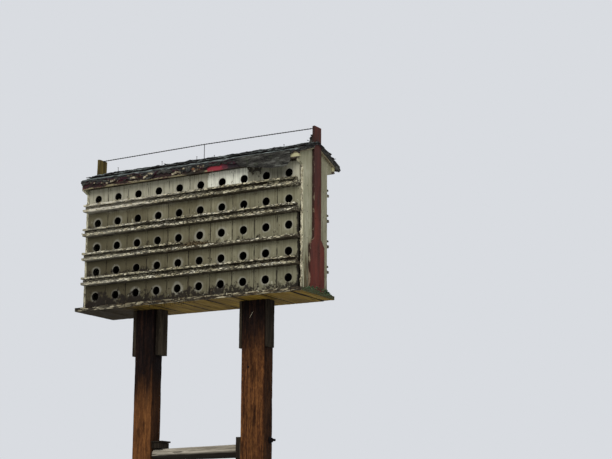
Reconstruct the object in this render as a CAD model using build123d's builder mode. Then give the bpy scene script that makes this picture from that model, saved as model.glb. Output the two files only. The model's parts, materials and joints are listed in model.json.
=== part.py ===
from build123d import *
from math import cos, radians, tan
import os

# Multi-unit birdhouse for colony-nesting birds: a two-sided timber box with ten columns
# and five tiers of nest compartments on each long side, carried on two timber posts.
# Millimetres. The origin is the middle of the left post's foot, +X runs along the house
# to the right, +Y to its back, +Z up.

# Posts, the right one wider
left_post_width = 154.0
right_post_width = 180.0
post_depth = 110.0
post_height = 3060.0
post_spacing = 868.0
post_corner_radius = 7.0

# Cleats that hold the posts to the underside of the deck
left_post_cleat_thickness = 38.0
right_post_cleat_thickness = 19.0
post_cleat_width = 89.0
post_cleat_length = 310.0

# Round pole between the posts, with its cleat, its bearing block and plate
pole_left_diameter = 78.0
pole_right_diameter = 88.0
pole_left_height = 2084.0
pole_right_height = 2093.0
pole_facets = 24
pole_cleat_thickness = 38.0
pole_cleat_width = 89.0
pole_cleat_length = 250.0
pole_cleat_rise = 44.0
block_seat_clearance = 0.3
block_length = 80.0
block_width = 89.0
block_thickness = 38.0
plate_length = 90.0
plate_width = 100.0
plate_thickness = 12.0

# Compartment grid
column_count = 10
tier_count = 5
column_pitch = 171.5
compartment_height = 152.5
floor_thickness = 19.0
divider_thickness = 13.0

# Entrance panels, one to each compartment
panel_thickness = 13.0
panel_joint = 2.0
entrance_diameter = 54.0
entrance_facets = 24
entrance_height = 76.0
rotted_edge_gap = 14.0
rotted_edge_tiers = 3

# House box, set a little to the left of the posts' middle
box_depth = 320.0
end_wall_thickness = 19.0
house_offset = -13.0

# Deck under the house, of cross planks
deck_thickness = 28.0
deck_depth = 440.0
deck_end_overhang = 28.0
deck_plank_width = 214.0
deck_plank_joint = 2.0

# Porch on each tier floor
porch_projection = 61.0
rail_width = 40.0
rail_thickness = 14.0
riser_height = 21.0
riser_thickness = 13.0
riser_setback = 25.0
lost_rail_tier = 3
lost_rail_length = 885.0

# Roof, as long as the box but set a little to the right of it
roof_pitch = 20.0
roof_offset = 18.0
rafter_seat = 15.0
attic_floor_projection = 56.0
fascia_thickness = 19.0
fascia_drop = 12.5
eave_block_drop = 34.0
roof_board_thickness = 19.0

# Layered covering, thin and broken off at the front eave, thick and curled at the back
covering_end_overhang = 6.0
covering_ridge_thickness = 13.0
covering_lap_thickness = 12.0
course_exposure = 57.0
course_count = 3
front_butt_thickness = 18.0
front_eave_overhang = 15.0
front_tip_thickness = 8.0
front_tip_droop = 18.0
back_butt_thickness = 38.0
back_eave_overhang = 65.0
back_tip_thickness = 12.0
back_tip_droop = 5.0
ridge_cap_thickness = 11.0
ridge_cap_half_width = 80.0

# Roofing torn loose at the front, hanging over the eave near the right end
torn_thickness = 6.0
torn_width = 420.0
torn_end_gap = 70.0
torn_lap = 24.0
torn_shallow_share = 0.11
torn_shallow_drop = 38.0
torn_middle_share = 0.4
torn_middle_drop = 60.0
torn_deep_share = 0.68
torn_deep_drop = 78.0
torn_rise_share = 0.88
torn_rise_drop = 80.0
torn_end_drop = 62.0

# Boards that stand against both gable walls and carry the perch wire
gable_board_thickness = 19.0
gable_board_foot_width = 184.0
gable_board_top_width = 89.0
gable_board_foot_height = 296.0
gable_board_rise = 97.0
gable_notch_clearance = 2.0

# Perch wire and its prop
wire_diameter = 5.0
wire_end_drop = 8.0
wire_middle_rise = 12.0
wire_bend_radius = 3000.0
wire_end_clearance = 0.3
wire_prop_diameter = 5.0
wire_prop_clearance = 0.3

# Worked-out places
inner_length = column_count * column_pitch
house_centre_x = post_spacing / 2 + house_offset
inner_left_x = house_centre_x - inner_length / 2
inner_right_x = house_centre_x + inner_length / 2
outer_left_x = inner_left_x - end_wall_thickness
outer_right_x = inner_right_x + end_wall_thickness
deck_top = post_height + deck_thickness
tier_pitch = compartment_height + floor_thickness
attic_underside = deck_top + tier_count * tier_pitch - floor_thickness
half_depth = box_depth / 2
porch_edge = half_depth + porch_projection
attic_edge = half_depth + attic_floor_projection
fascia_face = attic_edge + fascia_thickness
slope = tan(radians(roof_pitch))
ridge_underside = attic_underside + floor_thickness + rafter_seat + attic_edge * slope


def upright(thickness):
    """Vertical measure of a thickness taken square to the roof slope."""
    return thickness / cos(radians(roof_pitch))


def underside(y):
    """Height of the roof boards' underside at a distance from the ridge line."""
    return ridge_underside - abs(y) * slope


def tier_floor_top(tier):
    """Height of the floor that a tier's compartments stand on, tier 1 lowest."""
    return deck_top + (tier - 1) * tier_pitch


def keep(solid, label):
    """Name a finished piece and write it out."""
    solid.label = label
    export_step(solid, f"parts/{label}.step")


os.makedirs("parts", exist_ok=True)
tiers = range(1, tier_count + 1)
raised_tiers = range(2, tier_count + 1)
sides = {"front": 1, "back": -1}


# Posts, sawn timbers with worn corners
def post(x, width):
    with BuildPart() as timber:
        with BuildSketch(Plane.XY):
            with Locations((x, 0)):
                RectangleRounded(width, post_depth, post_corner_radius)
        extrude(amount=post_height)
    return timber.part


keep(post(0, left_post_width), "left_post")
keep(post(post_spacing, right_post_width), "right_post")

# Cleats on both sides of each post, tight under the deck. The left post has thick ones,
# flush with its back, and the right post thin ones, flush with its front.
cleat_inset = (post_depth - post_cleat_width) / 2
with BuildPart() as post_cleats:
    with BuildSketch(Plane.XY.offset(post_height)):
        with Locations((0, cleat_inset)):
            with GridLocations(left_post_width + left_post_cleat_thickness, 1, 2, 1):
                Rectangle(left_post_cleat_thickness, post_cleat_width)
        with Locations((post_spacing, -cleat_inset)):
            with GridLocations(right_post_width + right_post_cleat_thickness, 1, 2, 1):
                Rectangle(right_post_cleat_thickness, post_cleat_width)
    extrude(amount=-post_cleat_length)
keep(post_cleats.part, "post_cleats")

# Round pole, slightly tapered, from the left post to the cleat on the right one
pole_left_x = left_post_width / 2
pole_right_x = post_spacing - right_post_width / 2 - pole_cleat_thickness
with BuildPart() as cross_pole:
    with BuildSketch(Plane.YZ.offset(pole_left_x)):
        with Locations((0, pole_left_height)):
            RegularPolygon(pole_left_diameter / 2, pole_facets)
    with BuildSketch(Plane.YZ.offset(pole_right_x)):
        with Locations((0, pole_right_height)):
            RegularPolygon(pole_right_diameter / 2, pole_facets)
    loft(ruled=True)
keep(cross_pole.part, "cross_pole")

pole_cleat_top = pole_right_height + pole_right_diameter / 2 + pole_cleat_rise
with BuildPart() as pole_cleat:
    with BuildSketch(Plane.XY.offset(pole_cleat_top)):
        with Locations((pole_right_x + pole_cleat_thickness / 2, 0)):
            Rectangle(pole_cleat_thickness, pole_cleat_width)
    extrude(amount=-pole_cleat_length)
keep(pole_cleat.part, "pole_cleat")


def pole_top(x):
    """Height of the pole's upper side at a place along it."""
    share = (x - pole_left_x) / (pole_right_x - pole_left_x)
    height = pole_left_height + share * (pole_right_height - pole_left_height)
    return height + (pole_left_diameter + share * (pole_right_diameter - pole_left_diameter)) / 2


# Bearing block with a thin plate on it, on the left post over the pole's end
block_seat = max(pole_top(pole_left_x), pole_top(pole_left_x + block_length)) + block_seat_clearance
with BuildPart() as pole_block:
    with BuildSketch(Plane.XY.offset(block_seat)):
        with Locations((pole_left_x + block_length / 2, 0)):
            Rectangle(block_length, block_width)
    extrude(amount=block_thickness)
    with BuildSketch(Plane.XY.offset(block_seat + block_thickness)):
        with Locations((pole_left_x + plate_length / 2, 0)):
            Rectangle(plate_length, plate_width)
    extrude(amount=plate_thickness)
keep(pole_block.part, "pole_block")

# Deck planks laid across the house, the last one ripped to what is left
deck_left_x = outer_left_x - deck_end_overhang
deck_right_x = outer_right_x + deck_end_overhang
with BuildPart() as deck_planks:
    with BuildSketch(Plane.XY.offset(post_height)):
        plank_left_x = deck_left_x
        while plank_left_x < deck_right_x:
            plank_right_x = min(plank_left_x + deck_plank_width, deck_right_x)
            with Locations(((plank_left_x + plank_right_x) / 2, 0)):
                Rectangle(plank_right_x - plank_left_x, deck_depth)
            plank_left_x = plank_right_x + deck_plank_joint
    extrude(amount=deck_thickness)
keep(deck_planks.part, "deck_planks")

# Tier floors, run out past both faces as porches
for tier in raised_tiers:
    with BuildPart() as tier_floor:
        with BuildSketch(Plane.XY.offset(tier_floor_top(tier))):
            with Locations((house_centre_x, 0)):
                Rectangle(inner_length, 2 * porch_edge)
        extrude(amount=-floor_thickness)
    keep(tier_floor.part, f"tier_{tier}_floor")


# End walls, up to the roof boards on both slopes
def end_wall(inner_x, direction):
    with BuildPart() as wall:
        with BuildSketch(Plane.YZ.offset(inner_x)):
            with BuildLine():
                Polyline(
                    (-half_depth, deck_top),
                    (half_depth, deck_top),
                    (half_depth, underside(half_depth)),
                    (0, ridge_underside),
                    (-half_depth, underside(half_depth)),
                    close=True,
                )
            make_face()
        extrude(amount=direction * end_wall_thickness)
    return wall.part


keep(end_wall(inner_left_x, -1), "left_end_wall")
keep(end_wall(inner_right_x, 1), "right_end_wall")

# One long partition down the middle of each tier
with BuildPart() as centre_partitions:
    for tier in tiers:
        with BuildSketch(Plane.XY.offset(tier_floor_top(tier))):
            with Locations((house_centre_x, 0)):
                Rectangle(inner_length, divider_thickness)
        extrude(amount=compartment_height)
keep(centre_partitions.part, "centre_partitions")


# Dividers between neighbouring compartments, from the partition to the panels
def dividers(side):
    depth = half_depth - panel_thickness - divider_thickness / 2
    middle_y = -side * (divider_thickness + depth) / 2
    with BuildPart() as boards:
        for tier in tiers:
            with BuildSketch(Plane.XY.offset(tier_floor_top(tier))):
                with Locations((house_centre_x, middle_y)):
                    with GridLocations(column_pitch, 1, column_count - 1, 1):
                        Rectangle(divider_thickness, depth)
            extrude(amount=compartment_height)
    return boards.part


# A tier's row of entrance panels, each with its round hole. On the lowest front tiers
# the row's right end has rotted away from the end wall.
def entrance_panels(tier, side):
    row_bottom = tier_floor_top(tier)
    with BuildPart() as row:
        with BuildSketch(Plane.XZ.offset(side * half_depth)):
            with Locations((house_centre_x, row_bottom + compartment_height / 2)):
                with GridLocations(column_pitch, 1, column_count, 1):
                    Rectangle(column_pitch - panel_joint, compartment_height)
            with Locations((house_centre_x, row_bottom + entrance_height)):
                with GridLocations(column_pitch, 1, column_count, 1):
                    RegularPolygon(entrance_diameter / 2, entrance_facets, mode=Mode.SUBTRACT)
            if side == sides["front"] and tier <= rotted_edge_tiers:
                with Locations((inner_right_x, row_bottom + compartment_height / 2)):
                    Rectangle(2 * rotted_edge_gap, compartment_height, mode=Mode.SUBTRACT)
        extrude(amount=-side * panel_thickness)
    return row.part


# Guard rail along each porch, and the set-back riser that carries it. One front porch has
# lost both over its right half.
def porch_strips(side, edge_inset, depth, bottom_rise, height):
    middle_y = -side * (porch_edge - edge_inset - depth / 2)
    with BuildPart() as strips:
        for tier in raised_tiers:
            lost = lost_rail_length if side == sides["front"] and tier == lost_rail_tier else 0
            with BuildSketch(Plane.XY.offset(tier_floor_top(tier) + bottom_rise)):
                with Locations((house_centre_x - lost / 2, middle_y)):
                    Rectangle(inner_length - lost, depth)
            extrude(amount=height)
    return strips.part


for name, side in sides.items():
    keep(dividers(side), f"{name}_dividers")
    for tier in tiers:
        keep(entrance_panels(tier, side), f"{name}_panels_{tier}")
    keep(porch_strips(side, 0, rail_width, riser_height, rail_thickness), f"{name}_porch_rails")
    keep(porch_strips(side, riser_setback, riser_thickness, 0, riser_height), f"{name}_porch_risers")

# Attic floor, which also closes the eaves from below
with BuildPart() as attic_floor:
    with BuildSketch(Plane.XY.offset(attic_underside)):
        with Locations((house_centre_x, 0)):
            Rectangle(inner_length, 2 * attic_edge)
    extrude(amount=floor_thickness)
keep(attic_floor.part, "attic_floor")

# Small blocks that close the ends of both eaves, deepest where they meet the end walls
with BuildPart() as eave_end_blocks:
    for inner_x, direction in ((inner_left_x, -1), (inner_right_x, 1)):
        for side in sides.values():
            with BuildSketch(Plane.YZ.offset(inner_x)):
                with BuildLine():
                    Polyline(
                        (-side * half_depth, attic_underside - eave_block_drop),
                        (-side * attic_edge, attic_underside - fascia_drop),
                        (-side * attic_edge, underside(attic_edge)),
                        (-side * half_depth, underside(half_depth)),
                        close=True,
                    )
                make_face()
            extrude(amount=direction * end_wall_thickness)
keep(eave_end_blocks.part, "eave_end_blocks")

roof_left_x = outer_left_x + roof_offset
roof_length = outer_right_x - outer_left_x
covering_left_x = roof_left_x - covering_end_overhang
covering_length = roof_length + 2 * covering_end_overhang


# Fascia boards, bevelled on top to the roof pitch
def fascia(side):
    with BuildPart() as board:
        with BuildSketch(Plane.YZ.offset(roof_left_x)):
            with BuildLine():
                Polyline(
                    (-side * attic_edge, attic_underside - fascia_drop),
                    (-side * fascia_face, attic_underside - fascia_drop),
                    (-side * fascia_face, underside(fascia_face)),
                    (-side * attic_edge, underside(attic_edge)),
                    close=True,
                )
            make_face()
        extrude(amount=roof_length)
    return board.part


# Notches that let the gable boards rise past both roof ends
roof_space = ridge_underside - attic_underside
with BuildPart() as gable_notches:
    for outer_x, direction in ((outer_left_x, -1), (outer_right_x, 1)):
        with BuildSketch(Plane.XY.offset(attic_underside)):
            with Locations((outer_x + direction * roof_space / 2, 0)):
                Rectangle(roof_space, gable_board_top_width + 2 * gable_notch_clearance)
        extrude(amount=2 * roof_space)


# Roof boards of one slope
def roof_boards(side):
    with BuildPart() as boards:
        with BuildSketch(Plane.YZ.offset(roof_left_x)):
            with BuildLine():
                Polyline(
                    (0, ridge_underside),
                    (-side * fascia_face, underside(fascia_face)),
                    (-side * fascia_face, underside(fascia_face) + upright(roof_board_thickness)),
                    (0, ridge_underside + upright(roof_board_thickness)),
                    close=True,
                )
            make_face()
        extrude(amount=roof_length)
        add(gable_notches.part, mode=Mode.SUBTRACT)
    return boards.part


def covering_underside(y):
    """Height of the covering's underside, which lies on the roof boards."""
    return underside(y) + upright(roof_board_thickness)


butt_thickness = {1: front_butt_thickness, -1: back_butt_thickness}
eave_edge = {1: fascia_face + front_eave_overhang, -1: fascia_face + back_eave_overhang}
tip_thickness = {1: front_tip_thickness, -1: back_tip_thickness}
tip_droop = {1: front_tip_droop, -1: back_tip_droop}


def first_course_top(side, y):
    """Height of the top course's upper face, which thickens from the ridge down to its butt."""
    run = eave_edge[side] - (course_count - 1) * course_exposure
    thickening = (butt_thickness[side] - covering_ridge_thickness) * abs(y) / run
    return covering_underside(y) + upright(covering_ridge_thickness + thickening)


# Layered covering of one slope, in courses that step down to a drooping eave edge
def shingles(side):
    edge = eave_edge[side]
    profile = [(0, covering_underside(0)), (0, first_course_top(side, 0))]
    for laps_below in range(course_count - 1, 0, -1):
        y = edge - laps_below * course_exposure
        profile.append((-side * y, covering_underside(y) + upright(butt_thickness[side])))
        profile.append((-side * y, covering_underside(y) + upright(covering_lap_thickness)))
    profile.append((-side * edge, covering_underside(edge) + upright(tip_thickness[side])))
    profile.append((-side * edge, covering_underside(edge) - tip_droop[side]))
    profile.append((-side * fascia_face, covering_underside(fascia_face)))
    with BuildPart() as covering:
        with BuildSketch(Plane.YZ.offset(covering_left_x)):
            with BuildLine():
                Polyline(*profile, close=True)
            make_face()
        extrude(amount=covering_length)
        add(gable_notches.part, mode=Mode.SUBTRACT)
    return covering.part


for name, side in sides.items():
    keep(fascia(side), f"{name}_fascia")
    keep(roof_boards(side), f"{name}_roof_boards")
    keep(shingles(side), f"{name}_shingles")

# Ridge cap, folded over the top courses of both slopes
cap_edge = ridge_cap_half_width
cap_rise = upright(ridge_cap_thickness)
with BuildPart() as ridge_cap:
    with BuildSketch(Plane.YZ.offset(covering_left_x)):
        with BuildLine():
            Polyline(
                (-cap_edge, first_course_top(1, cap_edge)),
                (0, first_course_top(1, 0)),
                (cap_edge, first_course_top(-1, cap_edge)),
                (cap_edge, first_course_top(-1, cap_edge) + cap_rise),
                (0, first_course_top(-1, 0) + cap_rise),
                (-cap_edge, first_course_top(1, cap_edge) + cap_rise),
                close=True,
            )
        make_face()
    extrude(amount=covering_length)
    add(gable_notches.part, mode=Mode.SUBTRACT)
keep(ridge_cap.part, "ridge_cap")
cap_top = first_course_top(1, 0) + cap_rise

# Torn roofing that hangs from the front covering's edge, deepest near its right end. Its
# lower edge runs through places given as shares of its width from the left.
hang_top = covering_underside(eave_edge[1]) - front_tip_droop
torn_right_x = covering_left_x + covering_length - torn_end_gap
torn_left_x = torn_right_x - torn_width
with BuildPart() as torn_roofing:
    with BuildSketch(Plane.XZ.offset(eave_edge[1])):
        with BuildLine():
            Spline(
                (torn_left_x, hang_top),
                (torn_left_x + torn_shallow_share * torn_width, hang_top - torn_shallow_drop),
                (torn_left_x + torn_middle_share * torn_width, hang_top - torn_middle_drop),
                (torn_left_x + torn_deep_share * torn_width, hang_top - torn_deep_drop),
                (torn_left_x + torn_rise_share * torn_width, hang_top - torn_rise_drop),
                (torn_right_x, hang_top - torn_end_drop),
            )
            Polyline(
                (torn_right_x, hang_top - torn_end_drop),
                (torn_right_x, hang_top + torn_lap),
                (torn_left_x, hang_top + torn_lap),
                (torn_left_x, hang_top),
            )
        make_face()
    extrude(amount=torn_thickness)
keep(torn_roofing.part, "torn_roofing")

board_top = cap_top + gable_board_rise


# Gable boards, wide at the foot with sloping shoulders below a narrow top
def gable_board(outer_x, direction):
    foot = gable_board_foot_width / 2
    neck = gable_board_top_width / 2
    shoulder_bottom = deck_top + gable_board_foot_height
    shoulder_top = shoulder_bottom + foot - neck
    with BuildPart() as board:
        with BuildSketch(Plane.YZ.offset(outer_x)):
            with BuildLine():
                Polyline(
                    (-foot, deck_top),
                    (foot, deck_top),
                    (foot, shoulder_bottom),
                    (neck, shoulder_top),
                    (neck, board_top),
                    (-neck, board_top),
                    (-neck, shoulder_top),
                    (-foot, shoulder_bottom),
                    close=True,
                )
            make_face()
        extrude(amount=direction * gable_board_thickness)
    return board.part


keep(gable_board(outer_left_x, -1), "left_gable_board")
keep(gable_board(outer_right_x, 1), "right_gable_board")

# Perch wire, stretched between the gable boards over the prop
wire_end_z = board_top - wire_end_drop
wire_middle_z = wire_end_z + wire_middle_rise
with BuildPart() as perch_wire:
    with BuildLine() as wire_line:
        FilletPolyline(
            (outer_left_x + wire_end_clearance, 0, wire_end_z),
            (house_centre_x, 0, wire_middle_z),
            (outer_right_x - wire_end_clearance, 0, wire_end_z),
            radius=wire_bend_radius,
        )
    with BuildSketch(Plane(wire_line.line @ 0, x_dir=(0, 1, 0), z_dir=wire_line.line % 0)):
        Circle(wire_diameter / 2)
    sweep()
keep(perch_wire.part, "perch_wire")

# Thin prop that stands on the ridge cap under the wire
prop_top = wire_middle_z - wire_diameter / 2 - wire_prop_clearance
with BuildPart() as wire_prop:
    with BuildSketch(Plane.XY.offset(cap_top)):
        with Locations((house_centre_x, 0)):
            Circle(wire_prop_diameter / 2)
    extrude(amount=prop_top - cap_top)
keep(wire_prop.part, "wire_prop")
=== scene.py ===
import json
import math

import bmesh
import bpy
from mathutils import Matrix, Vector, noise


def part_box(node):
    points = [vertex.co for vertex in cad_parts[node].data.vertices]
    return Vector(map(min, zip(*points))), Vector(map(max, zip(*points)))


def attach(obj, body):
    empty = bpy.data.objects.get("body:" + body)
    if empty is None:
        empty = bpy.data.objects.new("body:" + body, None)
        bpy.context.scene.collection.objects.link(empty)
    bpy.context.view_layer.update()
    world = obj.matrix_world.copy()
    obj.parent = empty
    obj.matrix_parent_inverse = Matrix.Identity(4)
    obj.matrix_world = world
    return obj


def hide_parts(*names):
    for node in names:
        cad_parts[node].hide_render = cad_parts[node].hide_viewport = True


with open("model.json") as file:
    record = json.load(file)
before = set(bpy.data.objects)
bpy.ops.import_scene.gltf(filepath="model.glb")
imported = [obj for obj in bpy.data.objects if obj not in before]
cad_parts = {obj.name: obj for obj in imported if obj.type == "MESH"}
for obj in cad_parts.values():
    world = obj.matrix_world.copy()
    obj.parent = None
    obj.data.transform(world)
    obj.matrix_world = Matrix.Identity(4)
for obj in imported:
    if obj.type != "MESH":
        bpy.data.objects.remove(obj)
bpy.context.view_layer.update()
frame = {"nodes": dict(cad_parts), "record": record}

# Multi-unit birdhouse, weathered: ten columns and five tiers of entrances on each long side,
# on two dark posts. Working sizes are millimetres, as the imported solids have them, and turn
# to metres where a mesh is made.
MM = 0.001
SEED = 7

nodes = frame["nodes"]


def size_of(name):
    """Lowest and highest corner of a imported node, in millimetres."""
    low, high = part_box(name)
    return [value / MM for value in low], [value / MM for value in high]


# Places that many pieces share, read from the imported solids
row_low, row_high = size_of("front_panels_5")
floor_low, floor_high = size_of("tier_2_floor")
wall_high = size_of("right_end_wall")[1]
DECK_TOP = size_of("deck_planks")[1][2]
TIER_PITCH = size_of("tier_3_floor")[1][2] - floor_high[2]
COLUMNS = 10
TIERS = 5
ALL_TIERS, PORCH_TIERS = range(1, TIERS + 1), range(2, TIERS + 1)
SIDES = (("front", -1), ("back", 1))
INNER_LEFT, INNER_RIGHT = floor_low[0], floor_high[0]
COLUMN_PITCH = (INNER_RIGHT - INNER_LEFT) / COLUMNS
FIRST_COLUMN = INNER_LEFT + COLUMN_PITCH / 2
HALF_DEPTH = -row_low[1]
PORCH_EDGE = -floor_low[1]
FLOOR_THICKNESS = floor_high[2] - floor_low[2]
PANEL_HEIGHT = TIER_PITCH - FLOOR_THICKNESS
PANEL_THICKNESS = row_high[1] - row_low[1]
RIDGE_UNDERSIDE = wall_high[2]

# Sizes that the solids' boxes don't give
ENTRANCE_HEIGHT = 76.0
ENTRANCE_DIAMETER = 54.0
ROOF_PITCH = math.radians(20.0)
SLOPE = math.tan(ROOF_PITCH)
ROOF_BOARD_THICKNESS = 19.0
BOARD_RISE = ROOF_BOARD_THICKNESS / math.cos(ROOF_PITCH)
RAIL_THICKNESS, RAIL_WIDTH = 14.0, 40.0
RISER_HEIGHT, RISER_THICKNESS, RISER_SETBACK = 21.0, 13.0, 25.0
LOST_RAIL_TIER, LOST_RAIL_LENGTH = 3, 885.0
ROTTED_GAP, ROTTED_TIERS = 14.0, 3
PANEL_JOINT = 1.4
PLANK_WIDTH, PLANK_JOINT = 214.0, 2.0
LOST_RAIL_START = INNER_RIGHT - LOST_RAIL_LENGTH


def floor_of(tier):
    """Height of a tier's floor, the first tier's on the deck."""
    return DECK_TOP + (tier - 1) * TIER_PITCH


def linear(code):
    """Linear colour with alpha from an sRGB hex code."""
    parts = [int(code[i:i + 2], 16) / 255 for i in (1, 3, 5)]
    return [c / 12.92 if c <= 0.04045 else ((c + 0.055) / 1.055) ** 2.4 for c in parts] + [1.0]


def node(tree, kind, inputs=None, out=0, stops=None, **settings):
    """Add a node with its settings and links, and give back one of its outputs. An input holds
    a value, a hex colour, the output that feeds it, or a list of outputs that feed it."""
    made = tree.nodes.new(kind)
    for key, value in settings.items():
        setattr(made, key, value)
    for key, value in (inputs or {}).items():
        socket = made.inputs[key]
        feeds = value if isinstance(value, list) else [value]
        if isinstance(feeds[0], bpy.types.NodeSocket):
            for feed in feeds:
                tree.links.new(feed, socket)
        else:
            socket.default_value = linear(value) if isinstance(value, str) else value
    if stops:
        elements = made.color_ramp.elements
        while len(elements) < len(stops):
            elements.new(0.5)
        for element, (position, colour) in zip(elements, stops):
            element.position = position
            element.color = linear(colour)
    return made.outputs[out] if made.outputs else None


def jitter(x, y, z, size):
    """Smooth noise from -1 to 1 whose lumps are about the given size."""
    return noise.noise(Vector((x / size, y / size, z / size)) + Vector((SEED, SEED, SEED)))


def dress(name, mesh, slot, replaced=(), material=None, smooth=True):
    """Put a finished mesh in the scene with its slot, body and replaced nodes, and with the slot's
    material or another one."""
    mesh.materials.clear()
    mesh.materials.append(material or slot_materials[slot])
    if smooth:
        mesh.shade_smooth()
        mesh.set_sharp_from_angle(angle=math.radians(38))
    piece = bpy.data.objects.new(name, mesh)
    bpy.context.scene.collection.objects.link(piece)
    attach(piece, "root")
    if replaced:
        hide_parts(*replaced)
    return piece


def make_object(name, parts, slot, replaced=(), material=None, smooth=True):
    """Piece made of one or more shapes, each given as points in millimetres and faces."""
    points, faces = [], []
    for some_points, some_faces in parts:
        start = len(points)
        points += [[c * MM for c in p] for p in some_points]
        faces += [tuple(i + start for i in face) for face in some_faces]
    mesh = bpy.data.meshes.new(name)
    mesh.from_pydata(points, [], faces)
    shape = bmesh.new()
    shape.from_mesh(mesh)
    bmesh.ops.recalc_face_normals(shape, faces=shape.faces)
    shape.to_mesh(mesh)
    shape.free()
    return dress(name, mesh, slot, replaced, material, smooth)


# Camera at eye height above the ground, to the right of the house and well below it
camera_data = bpy.data.cameras.new("camera")
camera_data.sensor_width = 36.0
camera_data.lens = 84.3
camera_data.clip_end = 100.0
camera = bpy.data.objects.new("camera", camera_data)
bpy.context.scene.collection.objects.link(camera)
camera_place = (5.7711, -7.8526, 1.5154)
right = Vector((0.86616, 0.49975, 0.00511))
up = Vector((0.10257, -0.18777, 0.97685))
turned = Matrix((right, up, right.cross(up))).transposed().to_4x4()
camera.matrix_world = Matrix.Translation(camera_place) @ turned
bpy.context.scene.camera = camera
bpy.context.scene.view_settings.view_transform = "Standard"

# Soft even light as under a cloudy sky: a dome that is brighter overhead, and one large lamp.
# Camera, mirror and glass rays meet a plain pale backdrop.
world = bpy.data.worlds.new("studio")
bpy.context.scene.world = world
world.use_nodes = True
sky = world.node_tree
sky.nodes.clear()
path = node(sky, "ShaderNodeLightPath").node.outputs
seen = path["Is Camera Ray"]
for ray in ("Is Glossy Ray", "Is Transmission Ray"):
    seen = node(sky, "ShaderNodeMath", {0: seen, 1: path[ray]}, operation="MAXIMUM")
height = node(sky, "ShaderNodeSeparateXYZ", {0: node(sky, "ShaderNodeTexCoord", out="Generated")}, "Z")
dome = node(sky, "ShaderNodeMapRange", {0: height, 1: -0.35, 2: 0.6, 3: 0.22, 4: 0.95})
light = node(sky, "ShaderNodeBackground", {"Color": "#f6f8fb", "Strength": dome})
backdrop = node(sky, "ShaderNodeBackground", {"Color": "#d9dce1", "Strength": 1.0})
shown = node(sky, "ShaderNodeMixShader", {0: seen, 1: light, 2: backdrop})
node(sky, "ShaderNodeOutputWorld", {0: shown})

lamp_data = bpy.data.lights.new("key", "AREA")
lamp_data.shape = "SQUARE"
lamp_data.size = 5.0
lamp_data.energy = 430.0
lamp = bpy.data.objects.new("key", lamp_data)
bpy.context.scene.collection.objects.link(lamp)
lamp.location = (3.6, -7.2, 7.4)
lamp_aim = Vector((0.4, 0, 3.4))
lamp.rotation_euler = (lamp_aim - lamp.location).to_track_quat("-Z", "Y").to_euler()


# Materials. The functions down to finish_surface lay out effects that several of them share,
# with sizes in millimetres and places in metres.
def new_material(name, roughness=0.85, specular=0.06, metallic=0.0):
    """Empty material with its shader and the piece's own coordinates in metres."""
    material = bpy.data.materials.new(name)
    material.use_nodes = True
    tree = material.node_tree
    tree.nodes.clear()
    surface = node(tree, "ShaderNodeBsdfPrincipled", {
        "Roughness": roughness, "IOR": 1.5, "Specular IOR Level": specular, "Metallic": metallic})
    node(tree, "ShaderNodeOutputMaterial", {0: surface})
    return material, tree, surface.node, node(tree, "ShaderNodeTexCoord", out="Object")


def figure(tree, place, size, detail=4.0, rough=0.55, shift=0.0):
    """Noise whose lumps measure the given millimetres along X, Y and Z."""
    scaled = node(tree, "ShaderNodeMapping", {
        0: place, 1: (shift, shift, shift), 3: tuple(1000.0 / s for s in size)})
    return node(tree, "ShaderNodeTexNoise", {
        "Vector": scaled, "Scale": 1.0, "Detail": detail, "Roughness": rough})


def grain(along, across, length):
    """Lump sizes for a grain that runs along one axis."""
    return [length if axis == along else across for axis in "XYZ"]


def weighed(tree, *parts, extra=0.0):
    """Sum of values, each times its own weight, and of one more number."""
    total = extra
    for value, weight in parts:
        total = node(tree, "ShaderNodeMath", {0: value, 1: weight, 2: total}, operation="MULTIPLY_ADD")
    return total


def coat(tree, under, over, mask, start, full, share=1.0):
    """Lay one colour over another where a mask passes from start to full, either way."""
    amount = node(tree, "ShaderNodeMapRange", {0: mask, 1: start, 2: full, 3: 0.0, 4: share},
                  interpolation_type="SMOOTHSTEP")
    return node(tree, "ShaderNodeMix", {0: amount, 6: under, 7: over}, 2, data_type="RGBA")


def window(tree, value, start, end, soft):
    """1 between two limits of a value, fading over the soft width beyond them."""
    rise, fall = (
        node(tree, "ShaderNodeMapRange", {0: value, 1: outside, 2: inside}, interpolation_type="SMOOTHSTEP")
        for outside, inside in ((start - soft, start), (end + soft, end)))
    return node(tree, "ShaderNodeMath", {0: rise, 1: fall}, operation="MULTIPLY")


def facing(tree, axis):
    """How far a surface faces along an axis, from -1 to 1."""
    return node(tree, "ShaderNodeSeparateXYZ", {0: node(tree, "ShaderNodeTexCoord", out="Normal")}, axis)


def finish_surface(tree, shader, colour, relief, depth, dulling=None):
    """Join the colour, the relief in millimetres and a roughness that follows a pattern."""
    tree.links.new(colour, shader.inputs["Base Color"])
    bump = node(tree, "ShaderNodeBump", {"Strength": 1.0, "Distance": depth * MM, "Height": relief})
    tree.links.new(bump, shader.inputs["Normal"])
    if dulling is not None:
        rough = node(tree, "ShaderNodeMapRange", {0: dulling, 1: 0.3, 2: 0.7, 3: 0.68, 4: 0.93})
        tree.links.new(rough, shader.inputs["Roughness"])


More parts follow.
